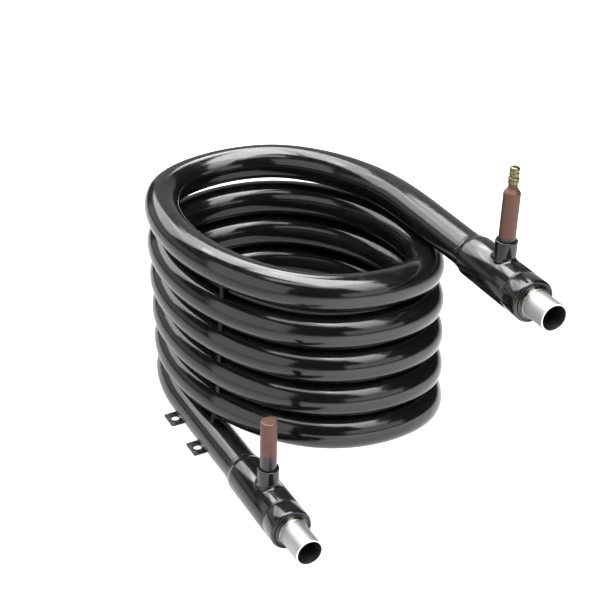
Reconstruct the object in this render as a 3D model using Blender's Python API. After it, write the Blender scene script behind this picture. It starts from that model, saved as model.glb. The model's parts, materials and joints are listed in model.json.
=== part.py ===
"""Coaxial heat exchanger coil.

A painted outer tube is wound into an oval coil, in two lengths that meet at the back. Its ends run straight
out at the front, one high on the right and one low on the left. A fluted inner tube runs through the coil,
and a plain water tube carries it on out of each end. Each end also has a tee with an upright branch, and
an end cap that closes the gap round the water tube. Metres, +Z up. Both ends point along -Y.
"""
import math
from collections import namedtuple

import bpy
import bmesh
import numpy
from mathutils import Matrix, Vector

for old in list(bpy.data.objects):
    bpy.data.objects.remove(old, do_unlink=True)

# Fit between parts
FIT_GAP = 0.0003

# Outer tube
TUBE_RADIUS = 0.0212
TUBE_WALL = 0.0018
TUBE_SIDES = 14
PASS_GAP = 0.0017
JOINT_AFTER_QUARTER_TURNS = 9

# Coil seen from above: radius of curvature against heading
MEAN_BEND_RADIUS = 0.1543
OVAL_STRETCH = 0.497
OVAL_TURN_DEG = 18.5
OVAL_SQUARING = 0.319
SQUARING_TURN_DEG = 4.8
HALF_TURNS = 11
RING_SAG = 0.0020
QUARTER_SAMPLES = 60

# The first pass is raised and moved in, so that the upper lead clears the pass under it
FIRST_PASS_RISE = 0.0058
UPPER_LEAD_RISE = 0.0047
UPPER_LEAD_INSET = 0.0046
RISE_DONE_DEG = 60.0
FALL_FROM_DEG = 200.0
FALL_DONE_DEG = 350.0
UPPER_LEAD_SLOPE = 0.03
LEAD_EASE_LENGTH = 0.0636
LEAD_AIM_STEP = 0.0100

# Straight ends, measured along each lead from the end of the coil
UPPER_BRANCH_AT = 0.2270
LOWER_BRANCH_AT = 0.2261
UPPER_BARE_END = 0.0344
LOWER_BARE_END = 0.0402
TUBE_END_BEFORE_BRANCH = 0.0250

# Inner tube, and the water tubes that carry it on
ANNULUS = 0.00315
INNER_WALL = 0.0018
LOBES = 5
LOBE_CLEARANCE = 0.0007
LOBE_DEPTH = 0.0047
LOBE_TWIST_LENGTH = 0.90
FLUTES_END_AT = 0.1100
FLUTE_FADE_LENGTH = 0.0700
WATER_TUBE_BEFORE_BRANCH = 0.0600

# Tee: a sleeve over the lead, flared after its first lip, with an upright branch
SLEEVE_STEP = 0.0038
LIP_HEIGHT = 0.0012
TEE_LENGTH_IN = 0.0635
TEE_LENGTH_OUT = 0.0362
LIP_LENGTH = 0.0025
FLARE_LENGTH = 0.0100
UPPER_TEE_CLOCK_DEG = 3.4
LOWER_TEE_CLOCK_DEG = 1.6
BRANCH_RADIUS = 0.0124
BRANCH_TOP = 0.0457
BRANCH_FILLET = 0.0042
BRANCH_CHAMFER = 0.0008
LATHE_SIDES = 24

# End cap: outer shell, rounded rim, dark groove and a cone down to the inner tube
CAP_LENGTH = 0.0250
RIM_ROUND = 0.0032
FACE_GROOVE_DEPTH = 0.0010
FACE_GROOVE_WIDTH = 0.0008
CONE_LENGTH = 0.0028
CAP_NOSE_WALL = 0.0010

# Weld beads and brazed joints
BEAD_HALF_WIDTH = 0.0011
BEAD_ROOT_HALF_WIDTH = 0.0002
BEAD_DEPTH = 0.0021
BEAD_PROUD = 0.0002
LIP_BEAD_LENGTH = 0.0015
BRAZE_LENGTH = 0.0014
BRAZE_HEIGHT = 0.0009

# Copper stubs, heights above the lead's axis
STUB_RADIUS = 0.009525
STUB_WALL = 0.0012
STUB_FOOT = 0.0225
STUB_SIDES = 20
LOWER_STUB_TOP = 0.1080
STUB_END_ROUND = 0.0016
UPPER_STUB_SHOULDER = 0.1008
SHOULDER_HEIGHT = 0.0066
NECK_RADIUS = 0.0052
NECK_HEIGHT = 0.0040

# Access valve on the upper stub
VALVE_FLANGE_RADIUS = 0.00605
VALVE_FLANGE_HEIGHT = 0.0071
VALVE_FLANGE_GROOVE_AT = (0.42, 0.52, 0.62)
VALVE_GROOVE_DEPTH = 0.0007
VALVE_TAIL_LENGTH = 0.0040
VALVE_SPIGOT_RADIUS = 0.0036
VALVE_SPIGOT_HEIGHT = 0.0050
VALVE_BORE_RADIUS = 0.0020
VALVE_PIN_LENGTH = 0.0060
VALVE_CAP_RADIUS = 0.0056
VALVE_CAP_HEIGHT = 0.0118
VALVE_CAP_WAIST = 0.0007
VALVE_CAP_RINGS_AT = (0.12, 0.20, 0.44, 0.52, 0.60, 0.76)
VALVE_CAP_DOME = ((0.93, 0.80), (1.0, 0.42))

# Mounting tabs on the lower lead
TAB_CENTRES = (0.0085, 0.0765)
TAB_LENGTH = 0.0262
TAB_REACH = 0.0315
TAB_DROP = 0.0159
TAB_THICKNESS = 0.0020
TAB_HOLE_RADIUS = 0.0052
TAB_HOLE_FROM_EDGE = 0.0100
TAB_HOLE_SIDES = 20
TAB_CORNER = 0.0014

# Spacers wedged in the outer groove between passes
SPACER_HEADING_DEG = 202.0
SPACER_STEP_BACK_DEG = 1.1
SPACER_COUNT = 5
SPACER_WIDTH = 0.0055
SPACER_INNER_OFFSET = 0.0030
SPACER_OUTER_OFFSET = 0.0123
SPACER_FACETS = 3

# Sizes that follow from those above
PITCH = 2 * TUBE_RADIUS + PASS_GAP
SLEEVE_RADIUS = TUBE_RADIUS + SLEEVE_STEP
TUBE_BORE_RADIUS = TUBE_RADIUS - TUBE_WALL
TUBE_BORE_SIDES = TUBE_SIDES // 2
INNER_RADIUS = TUBE_BORE_RADIUS - ANNULUS
CREST_RADIUS = TUBE_BORE_RADIUS * math.cos(math.pi / TUBE_BORE_SIDES) - LOBE_CLEARANCE
UPPER_INNER_END = UPPER_BRANCH_AT - WATER_TUBE_BEFORE_BRANCH
LOWER_INNER_END = LOWER_BRANCH_AT - WATER_TUBE_BEFORE_BRANCH
END_HEADING = HALF_TURNS * math.pi
JOINT_HEADING = JOINT_AFTER_QUARTER_TURNS * math.pi / 2
TURN_LENGTH = 2 * math.pi * MEAN_BEND_RADIUS
COIL_SLOPE = PITCH / TURN_LENGTH


def smooth(x):
    """Ease from 0 to 1 as x goes from 0 to 1."""
    c = min(max(x, 0.0), 1.0)
    return c * c * (3 - 2 * c)


def bore_for(radius, sides):
    """Corner radius of a many-sided hole whose flats clear a shaft of this radius."""
    return (radius + FIT_GAP) / math.cos(math.pi / sides)


# Path of the coil
# With h as the heading of the tube, the bend radius is
# mean * (1 + stretch * cos 2(h - turn) + squaring * cos 4(h - turn)).
# Its integrals over the heading are closed, so every turn lies exactly under the one before it.
WAVES = (
    (0, 1.0, 0.0),
    (2, OVAL_STRETCH, math.radians(OVAL_TURN_DEG)),
    (4, OVAL_SQUARING, math.radians(SQUARING_TURN_DEG)),
)


def bend_radius(heading):
    """Radius of curvature of the coil seen from above."""
    return MEAN_BEND_RADIUS * sum(share * math.cos(order * (heading - turn)) for order, share, turn in WAVES)


def plan_point(heading):
    """Centre line of the coil seen from above."""
    x = 0.0
    y = 0.0
    for order, share, turn in WAVES:
        signs = (1,) if order == 0 else (1, -1)
        for sign in signs:
            k = sign * order
            weight = share if order == 0 else share / 2
            angle = (k + 1) * heading - k * turn
            x += MEAN_BEND_RADIUS * weight * math.cos(angle) / (k + 1)
            y += MEAN_BEND_RADIUS * weight * math.sin(angle) / (k + 1)
    return x, y


def coil_length(heading):
    """Length of tube from the start of the coil to this heading."""
    total = MEAN_BEND_RADIUS * heading
    for order, share, turn in WAVES[1:]:
        swing = math.sin(order * (heading - turn)) + math.sin(order * turn)
        total += MEAN_BEND_RADIUS * share * swing / order
    return total


LEAD_EASE_RISE = LEAD_EASE_LENGTH * (COIL_SLOPE + UPPER_LEAD_SLOPE) / 2
START_RISE = UPPER_LEAD_RISE - LEAD_EASE_RISE


def first_pass_rise(heading):
    """How far the first pass stands above a plain helix."""
    degrees = math.degrees(heading)
    if degrees < FALL_FROM_DEG:
        return START_RISE + (FIRST_PASS_RISE - START_RISE) * smooth(degrees / RISE_DONE_DEG)
    return FIRST_PASS_RISE * (1 - smooth((degrees - FALL_FROM_DEG) / (FALL_DONE_DEG - FALL_FROM_DEG)))


def coil_point(heading):
    """Centre line of the coil in space."""
    x, y = plan_point(heading)
    inset = UPPER_LEAD_INSET * (1 - smooth(math.degrees(heading) / RISE_DONE_DEG))
    return Vector((x - inset, y, first_pass_rise(heading) - COIL_SLOPE * coil_length(heading)))


def upper_lead_point(t):
    """Centre line of the upper lead, t metres out from the coil. It eases into the slope of the coil."""
    start = coil_point(0.0)
    if t < LEAD_EASE_LENGTH:
        bend = (UPPER_LEAD_SLOPE + COIL_SLOPE) / (2 * LEAD_EASE_LENGTH)
        rise = COIL_SLOPE * t - bend * t * t
    else:
        rise = LEAD_EASE_RISE - UPPER_LEAD_SLOPE * t
    return start + Vector((0.0, -t, rise))


def lower_lead_point(t):
    """Centre line of the lower lead, t metres out from the coil."""
    return coil_point(END_HEADING) + Vector((0.0, -t, -COIL_SLOPE * t))


def lead_frame(point_at, t, clock_deg=0.0):
    """Frame on a straight lead: X runs out along it, Y points to +X of the object and Z up."""
    here = point_at(t)
    out = (point_at(t + LEAD_AIM_STEP) - here).normalized()
    across = Vector((1.0, 0.0, 0.0))
    up = out.cross(across).normalized()
    frame = Matrix.Identity(4)
    for row in range(3):
        frame[row][0] = out[row]
        frame[row][1] = across[row]
        frame[row][2] = up[row]
        frame[row][3] = here[row]
    return frame @ Matrix.Rotation(math.radians(-clock_deg), 4, "X")


def ring_headings():
    """Headings of the rings in the coil. Every quarter turn starts on a ring, where the coil is widest, and
    no chord between two rings lies farther than about RING_SAG from the curve."""
    headings = [0.0]
    quarter = math.pi / 2
    for start in range(2 * HALF_TURNS):
        fine = [quarter * (start + i / QUARTER_SAMPLES) for i in range(QUARTER_SAMPLES + 1)]
        reach = [0.0]
        for before, after in zip(fine, fine[1:]):
            reach.append(reach[-1] + math.sqrt(bend_radius((before + after) / 2)) * (after - before))
        steps = math.ceil(reach[-1] / math.sqrt(8 * RING_SAG))
        targets = [reach[-1] * (i + 1) / steps for i in range(steps)]
        headings += [float(heading) for heading in numpy.interp(targets, reach, fine)]
    return headings


Station = namedtuple("Station", "point side up length heading")


def path_stations(upper_end, lower_end, lead_steps):
    """Rings along a tube from the upper end: centre, side vector, up vector, length so far and heading."""
    upper_ts = sorted((t for t in lead_steps if 0 < t < upper_end), reverse=True)
    lower_ts = sorted(t for t in lead_steps if 0 < t < lower_end)
    points = [upper_lead_point(t) for t in [upper_end] + upper_ts]
    headings = [0.0] * len(points)
    for heading in ring_headings():
        points.append(coil_point(heading))
        headings.append(heading)
    for t in lower_ts + [lower_end]:
        points.append(lower_lead_point(t))
        headings.append(END_HEADING)
    stations = []
    length = 0.0
    for i, (point, heading) in enumerate(zip(points, headings)):
        before = points[max(i - 1, 0)]
        after = points[min(i + 1, len(points) - 1)]
        if i > 0:
            length += (point - before).length
        flat = Vector((-math.sin(heading), math.cos(heading), 0.0))
        run = (after - before).dot(flat)
        travel = (flat + Vector((0.0, 0.0, (after - before).z / run))).normalized()
        side = Vector((math.cos(heading), math.sin(heading), 0.0))
        up = side.cross(travel).normalized()
        stations.append(Station(point, side, up, length, heading))
    return stations


def cut_apart(stations, heading):
    """Two runs of rings whose ends face each other, FIT_GAP apart, at the ring nearest this heading."""
    at = min(range(len(stations)), key=lambda i: abs(stations[i].heading - heading))
    joint = stations[at]
    half_gap = joint.up.cross(joint.side) * FIT_GAP / 2
    before = joint._replace(point=joint.point - half_gap)
    after = joint._replace(point=joint.point + half_gap)
    return stations[:at] + [before], [after] + stations[at + 1:]


# Mesh building
def bridge(bm, loop_a, loop_b):
    """Join two closed rings. One may have twice as many corners as the other."""
    n = len(loop_a)
    m = len(loop_b)
    if n == m:
        for i in range(n):
            j = (i + 1) % n
            bm.faces.new((loop_a[i], loop_a[j], loop_b[j], loop_b[i]))
        return
    coarse, fine = (loop_a, loop_b) if n < m else (loop_b, loop_a)
    for i in range(len(coarse)):
        j = (i + 1) % len(coarse)
        mid = 2 * i + 1
        last = (2 * i + 2) % len(fine)
        bm.faces.new((coarse[i], fine[mid], fine[2 * i]))
        bm.faces.new((coarse[i], coarse[j], fine[mid]))
        bm.faces.new((coarse[j], fine[last], fine[mid]))


def finish(name, bm, material, frame=None, smooth_below_deg=35.0):
    """Turn the built mesh into a named object with its own material."""
    bmesh.ops.recalc_face_normals(bm, faces=bm.faces)
    mesh = bpy.data.meshes.new(name)
    bm.to_mesh(mesh)
    bm.free()
    if frame is not None:
        mesh.transform(frame)
    mesh.shade_smooth()
    mesh.set_sharp_from_angle(angle=math.radians(smooth_below_deg))
    part = bpy.data.objects.new(name, mesh)
    bpy.context.scene.collection.objects.link(part)
    if material is not None:
        mesh.materials.append(material)
    return part


def swept_tube(name, stations, outer_at, inner_at, material):
    """Hollow tube over the stations. outer_at and inner_at give each ring's corners in its own plane."""
    bm = bmesh.new()
    walls = []
    for section_at in (outer_at, inner_at):
        rings = []
        for ring in stations:
            corners = section_at(ring.length)
            rings.append([bm.verts.new(ring.point + ring.side * a + ring.up * b) for a, b in corners])
        for ring_a, ring_b in zip(rings, rings[1:]):
            bridge(bm, ring_a, ring_b)
        walls.append(rings)
    bridge(bm, walls[0][0], walls[1][0])
    bridge(bm, walls[0][-1], walls[1][-1])
    return finish(name, bm, material)


def turned(name, profile, frame, material, sides, axis="X", closed=True):
    """Turn a profile of (along, radius) points round an axis. An open profile is capped at both ends."""
    bm = bmesh.new()
    rings = []
    for along, radius in profile:
        ring = []
        for i in range(sides):
            angle = 2 * math.pi * i / sides
            a = radius * math.cos(angle)
            b = radius * math.sin(angle)
            ring.append(bm.verts.new((along, a, b) if axis == "X" else (a, b, along)))
        rings.append(ring)
    for ring_a, ring_b in zip(rings, rings[1:]):
        bridge(bm, ring_a, ring_b)
    if closed:
        bridge(bm, rings[-1], rings[0])
    else:
        bm.faces.new(rings[0])
        bm.faces.new(rings[-1])
    return finish(name, bm, material, frame)


def prism(name, outline, half_width, frame, material):
    """Extrude an outline in the frame's XZ plane along its Y axis, both ways."""
    bm = bmesh.new()
    ends = [[bm.verts.new((x, s * half_width, z)) for x, z in outline] for s in (-1, 1)]
    bridge(bm, ends[0], ends[1])
    bm.faces.new(ends[0])
    bm.faces.new(ends[1])
    return finish(name, bm, material, frame, smooth_below_deg=20.0)


def make_material(name, colour, roughness, metallic, coat=0.0):
    """Principled material with one colour."""
    material = bpy.data.materials.new(name)
    material.use_nodes = True
    shader = material.node_tree.nodes["Principled BSDF"]
    shader.inputs["Base Color"].default_value = (*colour, 1.0)
    shader.inputs["Roughness"].default_value = roughness
    shader.inputs["Metallic"].default_value = metallic
    shader.inputs["Coat Weight"].default_value = coat
    return material


def black_paint(name):
    return make_material(name, (0.012, 0.013, 0.014), 0.22, 0.0, 1.0)


def copper(name):
    return make_material(name, (0.33, 0.16, 0.11), 0.38, 1.0)


def brass(name):
    return make_material(name, (0.62, 0.45, 0.16), 0.24, 1.0)


def silver(name):
    return make_material(name, (0.62, 0.63, 0.64), 0.26, 1.0)


# Outer tube
def circle(radius, sides):
    """Corners of a ring section, starting on the outside of the bend."""
    return [(radius * math.cos(2 * math.pi * i / sides), radius * math.sin(2 * math.pi * i / sides))
            for i in range(sides)]


TUBE_OUTLINE = circle(TUBE_RADIUS, TUBE_SIDES)
TUBE_BORE = circle(TUBE_BORE_RADIUS, TUBE_BORE_SIDES)
outer_stations = path_stations(
    UPPER_BRANCH_AT - TUBE_END_BEFORE_BRANCH,
    LOWER_BRANCH_AT - TUBE_END_BEFORE_BRANCH,
    (LEAD_EASE_LENGTH / 3, 2 * LEAD_EASE_LENGTH / 3, LEAD_EASE_LENGTH),
)
for name, run in zip(("outer_tube_upper", "outer_tube_lower"), cut_apart(outer_stations, JOINT_HEADING)):
    swept_tube(name, run, lambda s: TUBE_OUTLINE, lambda s: TUBE_BORE, black_paint(name + "_paint"))

# Inner tube: five twisted flutes in the coil, fading to plain round ends inside the tees
inner_stations = path_stations(
    UPPER_INNER_END,
    LOWER_INNER_END,
    (LEAD_EASE_LENGTH / 2, LEAD_EASE_LENGTH, FLUTES_END_AT),
)
INNER_LENGTH = inner_stations[-1].length
MID_SECTION_RADIUS = CREST_RADIUS - LOBE_DEPTH / 2


def flute_share(s):
    """1 where the tube is fully fluted, 0 in the plain ends. s is the length from the upper end."""
    out_from_coil = max(UPPER_INNER_END - s, s - INNER_LENGTH + LOWER_INNER_END)
    return smooth((FLUTES_END_AT - out_from_coil) / FLUTE_FADE_LENGTH)


def inner_section(s, wall):
    """Star-shaped section with a crest and a root per lobe, or a round one with twice the corners."""
    share = flute_share(s)
    first_flute = UPPER_INNER_END - FLUTES_END_AT
    last_flute = INNER_LENGTH - LOWER_INNER_END + FLUTES_END_AT
    twist = 2 * math.pi * min(max(s, first_flute), last_flute) / LOBE_TWIST_LENGTH
    count = 2 * LOBES if share > 0 else 4 * LOBES
    corners = []
    for i in range(count):
        angle = 2 * math.pi * i / count
        wave = math.cos(LOBES * angle)
        fluted = MID_SECTION_RADIUS + LOBE_DEPTH / 2 * wave
        radius = (1 - share) * INNER_RADIUS + share * fluted - wall
        corners.append((radius * math.cos(angle + twist), radius * math.sin(angle + twist)))
    return corners


inner_tube = swept_tube("inner_tube", inner_stations, lambda s: inner_section(s, 0.0),
                        lambda s: inner_section(s, INNER_WALL), silver("inner_tube_metal"))

# Tees, caps, joints and stubs on each lead
TUBE_CLEAR = bore_for(TUBE_RADIUS, LATHE_SIDES)
INNER_CLEAR = bore_for(INNER_RADIUS, LATHE_SIDES)
LIP_RADIUS = TUBE_CLEAR + LIP_HEIGHT
SLEEVE_WALL = SLEEVE_RADIUS - TUBE_CLEAR
BEAD_ROOT_RADIUS = SLEEVE_RADIUS - BEAD_DEPTH
SEAM_FACE = FIT_GAP / 2
CHAMFER_FOOT = BEAD_ROOT_HALF_WIDTH + FIT_GAP
CHAMFER_TOP = BEAD_HALF_WIDTH + FIT_GAP
ROUND_STEPS = 3


def seam_edge(way):
    """Chamfered end of a sleeve beside the seam bead, outside first. way is 1 past the bead, -1 before it."""
    return [
        (way * CHAMFER_TOP, SLEEVE_RADIUS),
        (way * CHAMFER_FOOT, BEAD_ROOT_RADIUS),
        (way * SEAM_FACE, BEAD_ROOT_RADIUS - FIT_GAP),
        (way * SEAM_FACE, TUBE_CLEAR),
    ]


def branch_body(name, frame):
    """Upright branch with a fillet that follows the curve of the sleeve."""
    fillet = []
    for i in range(ROUND_STEPS + 1):
        angle = math.pi / 2 * i / ROUND_STEPS
        fillet.append((BRANCH_RADIUS + BRANCH_FILLET * (1 - math.sin(angle)),
                       BRANCH_FILLET * (1 - math.cos(angle))))
    sunk = [(BRANCH_RADIUS / 2, -SLEEVE_WALL / 2), (BRANCH_RADIUS + BRANCH_FILLET, -SLEEVE_WALL / 2)]
    saddle_rings = sunk + fillet
    flat_rings = [
        (BRANCH_RADIUS, BRANCH_TOP - BRANCH_CHAMFER),
        (BRANCH_RADIUS - BRANCH_CHAMFER, BRANCH_TOP),
    ]
    bm = bmesh.new()
    rings = []
    for k, (radius, height) in enumerate(saddle_rings + flat_rings):
        ring = []
        for i in range(LATHE_SIDES):
            angle = 2 * math.pi * i / LATHE_SIDES
            x = radius * math.cos(angle)
            y = radius * math.sin(angle)
            on_saddle = k < len(saddle_rings)
            base = math.sqrt(SLEEVE_RADIUS ** 2 - y ** 2) if on_saddle else 0.0
            ring.append(bm.verts.new((x, y, base + height)))
        rings.append(ring)
    for ring_a, ring_b in zip(rings, rings[1:]):
        bridge(bm, ring_a, ring_b)
    bm.faces.new(rings[0])
    bm.faces.new(rings[-1])
    return finish(name, bm, None, frame)


def hide_cutter(cutter):
    cutter.hide_render = True
    cutter.display_type = "WIRE"


def boolean(target, cutter, operation):
    hide_cutter(cutter)
    step = target.modifiers.new(operation.lower() + "_" + cutter.name, "BOOLEAN")
    step.operation = operation
    step.solver = "EXACT"
    step.object = cutter


def make_end(which, point_at, branch_at, clock_deg, bare_end):
    """Tee, end cap, weld beads, water tube and braze ring of one lead."""
    branch_frame = lead_frame(point_at, branch_at, clock_deg)
    seam_frame = lead_frame(point_at, branch_at + TEE_LENGTH_OUT)
    lip_frame = lead_frame(point_at, branch_at - TEE_LENGTH_IN)

    sleeve = [(TEE_LENGTH_OUT + a, r) for a, r in seam_edge(-1)]
    sleeve += [
        (-TEE_LENGTH_IN, TUBE_CLEAR),
        (-TEE_LENGTH_IN, LIP_RADIUS),
        (LIP_LENGTH - TEE_LENGTH_IN, LIP_RADIUS),
        (LIP_LENGTH + FLARE_LENGTH / 2 - TEE_LENGTH_IN, (LIP_RADIUS + 2 * SLEEVE_RADIUS) / 3),
        (LIP_LENGTH + FLARE_LENGTH - TEE_LENGTH_IN, SLEEVE_RADIUS),
    ]
    tee_name = "tee_" + which
    tee = turned(tee_name, sleeve, branch_frame, black_paint(tee_name + "_paint"), LATHE_SIDES)
    branch = branch_body("branch_of_" + tee_name, branch_frame)
    boolean(tee, branch, "UNION")
    hole_radius = bore_for(STUB_RADIUS, LATHE_SIDES)
    hole = turned("hole_of_" + tee_name, [(STUB_RADIUS, hole_radius), (2 * BRANCH_TOP, hole_radius)],
                  branch_frame, None, LATHE_SIDES, axis="Z", closed=False)
    boolean(tee, hole, "DIFFERENCE")

    rim = []
    for i in range(ROUND_STEPS + 1):
        angle = math.pi / 2 * i / ROUND_STEPS
        rim.append((CAP_LENGTH - RIM_ROUND * (1 - math.sin(angle)),
                    SLEEVE_RADIUS - RIM_ROUND * (1 - math.cos(angle))))
    groove_out = SLEEVE_RADIUS - RIM_ROUND - FACE_GROOVE_DEPTH / 2
    groove_in = groove_out - FACE_GROOVE_WIDTH
    nose_radius = INNER_CLEAR + CAP_NOSE_WALL
    profile = list(reversed(seam_edge(1))) + rim + [
        (CAP_LENGTH - FACE_GROOVE_DEPTH, groove_out),
        (CAP_LENGTH - FACE_GROOVE_DEPTH, groove_in),
        (CAP_LENGTH, groove_in - FACE_GROOVE_DEPTH / 2),
        (CAP_LENGTH + CONE_LENGTH, nose_radius),
        (CAP_LENGTH + CONE_LENGTH, INNER_CLEAR),
        (CAP_LENGTH - SLEEVE_WALL, INNER_CLEAR),
        (CAP_LENGTH - SLEEVE_WALL - CONE_LENGTH, TUBE_CLEAR),
    ]
    cap_name = "end_cap_" + which
    turned(cap_name, profile, seam_frame, black_paint(cap_name + "_paint"), LATHE_SIDES)

    bead = [
        (-BEAD_HALF_WIDTH, SLEEVE_RADIUS + BEAD_PROUD),
        (BEAD_HALF_WIDTH, SLEEVE_RADIUS + BEAD_PROUD),
        (BEAD_ROOT_HALF_WIDTH, BEAD_ROOT_RADIUS + FIT_GAP),
        (-BEAD_ROOT_HALF_WIDTH, BEAD_ROOT_RADIUS + FIT_GAP),
    ]
    bead_name = "seam_bead_" + which
    turned(bead_name, bead, seam_frame, black_paint(bead_name + "_paint"), LATHE_SIDES)
    lip_bead = [
        (-FIT_GAP, TUBE_CLEAR),
        (-FIT_GAP, LIP_RADIUS),
        (-FIT_GAP - LIP_BEAD_LENGTH / 2, LIP_RADIUS - LIP_HEIGHT / 4),
        (-FIT_GAP - LIP_BEAD_LENGTH, TUBE_CLEAR),
    ]
    lip_name = "lip_bead_" + which
    turned(lip_name, lip_bead, lip_frame, black_paint(lip_name + "_paint"), LATHE_SIDES)
    braze_at = CAP_LENGTH + CONE_LENGTH + FIT_GAP
    braze_ring = [
        (braze_at, INNER_CLEAR),
        (braze_at, INNER_CLEAR + BRAZE_HEIGHT),
        (braze_at + BRAZE_LENGTH, INNER_CLEAR),
    ]
    braze_name = "braze_ring_" + which
    braze_metal = make_material(braze_name + "_metal", (0.35, 0.34, 0.33), 0.35, 1.0)
    turned(braze_name, braze_ring, seam_frame, braze_metal, LATHE_SIDES)

    water_start = FIT_GAP - TEE_LENGTH_OUT - WATER_TUBE_BEFORE_BRANCH
    water_mouth = CAP_LENGTH + CONE_LENGTH + bare_end
    water_bore = INNER_RADIUS - INNER_WALL
    water_tube = [
        (water_start, INNER_RADIUS),
        (water_mouth, INNER_RADIUS),
        (water_mouth, water_bore),
        (water_start, water_bore),
    ]
    water_name = "water_tube_" + which
    turned(water_name, water_tube, seam_frame, silver(water_name + "_metal"), LATHE_SIDES)
    return branch_frame


upper_frame = make_end("upper", upper_lead_point, UPPER_BRANCH_AT, UPPER_TEE_CLOCK_DEG, UPPER_BARE_END)
lower_frame = make_end("lower", lower_lead_point, LOWER_BRANCH_AT, LOWER_TEE_CLOCK_DEG, LOWER_BARE_END)

STUB_BORE = STUB_RADIUS - STUB_WALL
lower_stub = [
    (LOWER_STUB_TOP, STUB_RADIUS - STUB_END_ROUND),
    (LOWER_STUB_TOP - STUB_END_ROUND / 3, STUB_RADIUS - STUB_END_ROUND / 3),
    (LOWER_STUB_TOP - STUB_END_ROUND, STUB_RADIUS),
    (STUB_FOOT, STUB_RADIUS),
    (STUB_FOOT, STUB_BORE),
    (LOWER_STUB_TOP - STUB_WALL, STUB_BORE),
]
turned("copper_stub_lower", lower_stub, lower_frame, copper("copper_stub_lower_metal"), STUB_SIDES,
       axis="Z", closed=False)
NECK_BORE = NECK_RADIUS - STUB_WALL
NECK_START = UPPER_STUB_SHOULDER + SHOULDER_HEIGHT
NECK_TOP = NECK_START + NECK_HEIGHT
upper_stub = [
    (STUB_FOOT, STUB_RADIUS),
    (UPPER_STUB_SHOULDER, STUB_RADIUS),
    (NECK_START, NECK_RADIUS),
    (NECK_TOP, NECK_RADIUS),
    (NECK_TOP, NECK_BORE),
    (NECK_START, NECK_BORE),
    (UPPER_STUB_SHOULDER - STUB_WALL / 2, STUB_BORE),
    (STUB_FOOT, STUB_BORE),
]
turned("copper_stub_upper", upper_stub, upper_frame, copper("copper_stub_upper_metal"), STUB_SIDES,
       axis="Z")

# Access valve: tail in the stub's neck, ringed flange, bored spigot with a pin in it, and a cap over it
flange_at = NECK_TOP + FIT_GAP
flange_top = flange_at + VALVE_FLANGE_HEIGHT
spigot_top = flange_top + VALVE_SPIGOT_HEIGHT
tail_radius = NECK_BORE * math.cos(math.pi / STUB_SIDES) - FIT_GAP
groove_heights = [flange_at + VALVE_FLANGE_HEIGHT * share for share in VALVE_FLANGE_GROOVE_AT]
valve_body = [
    (flange_at - VALVE_TAIL_LENGTH, VALVE_BORE_RADIUS),
    (flange_at - VALVE_TAIL_LENGTH, tail_radius),
    (flange_at, tail_radius),
    (flange_at, VALVE_FLANGE_RADIUS),
    (groove_heights[0], VALVE_FLANGE_RADIUS),
    (groove_heights[1], VALVE_FLANGE_RADIUS - VALVE_GROOVE_DEPTH),
    (groove_heights[2], VALVE_FLANGE_RADIUS),
    (flange_top, VALVE_FLANGE_RADIUS),
    (flange_top, VALVE_SPIGOT_RADIUS),
    (spigot_top, VALVE_SPIGOT_RADIUS),
    (spigot_top, VALVE_BORE_RADIUS),
]
turned("valve_body", valve_body, upper_frame, brass("valve_body_metal"), STUB_SIDES, axis="Z")
pin_radius = VALVE_BORE_RADIUS * math.cos(math.pi / STUB_SIDES) - FIT_GAP
valve_pin = [(spigot_top - VALVE_PIN_LENGTH, pin_radius), (spigot_top - FIT_GAP, pin_radius)]
turned("valve_pin", valve_pin, upper_frame, brass("valve_pin_metal"), STUB_SIDES // 2,
       axis="Z", closed=False)
cap_at = flange_top + FIT_GAP
cap_bore = bore_for(VALVE_SPIGOT_RADIUS, STUB_SIDES)
waist_radius = VALVE_CAP_RADIUS - VALVE_CAP_WAIST
ring = VALVE_CAP_RADIUS
ring_radii = (waist_radius, ring, ring, waist_radius, ring, ring)
valve_cap = [(spigot_top + FIT_GAP, cap_bore), (cap_at, cap_bore), (cap_at, waist_radius)]
for share, radius in zip(VALVE_CAP_RINGS_AT, ring_radii):
    valve_cap.append((cap_at + VALVE_CAP_HEIGHT * share, radius))
for share, across in VALVE_CAP_DOME:
    valve_cap.append((cap_at + VALVE_CAP_HEIGHT * share, VALVE_CAP_RADIUS * across))
turned("valve_cap", valve_cap, upper_frame, brass("valve_cap_metal"), STUB_SIDES, axis="Z", closed=False)


# Mounting tabs: flat plates welded low on the outer side of the lower lead, each with a bolt hole
def mounting_tab(name, centre_at):
    frame = lead_frame(lower_lead_point, centre_at)
    weld_edge = math.sqrt((TUBE_RADIUS + FIT_GAP) ** 2 - TAB_DROP ** 2)
    half = TAB_LENGTH / 2
    outer = [
        (-half, -weld_edge), (half, -weld_edge), (half, TAB_CORNER - TAB_REACH),
        (half - TAB_CORNER, -TAB_REACH), (TAB_CORNER - half, -TAB_REACH), (-half, TAB_CORNER - TAB_REACH),
    ]
    bm = bmesh.new()
    levels = (-TAB_DROP - TAB_THICKNESS, -TAB_DROP)
    rings = [[bm.verts.new((x, y, z)) for x, y in outer] for z in levels]
    bridge(bm, rings[0], rings[1])
    bm.faces.new(rings[0])
    bm.faces.new(rings[1])
    tab = finish(name, bm, black_paint(name + "_paint"), frame, smooth_below_deg=20.0)
    drill_frame = frame @ Matrix.Translation((0.0, TAB_HOLE_FROM_EDGE - TAB_REACH, -TAB_DROP))
    drill_profile = [(-2 * TAB_THICKNESS, TAB_HOLE_RADIUS), (TAB_THICKNESS, TAB_HOLE_RADIUS)]
    drill = turned("hole_of_" + name, drill_profile, drill_frame, None, TAB_HOLE_SIDES,
                   axis="Z", closed=False)
    boolean(tab, drill, "DIFFERENCE")


for number, centre_at in enumerate(TAB_CENTRES):
    mounting_tab("mounting_tab_" + str(number + 1), centre_at)


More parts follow.
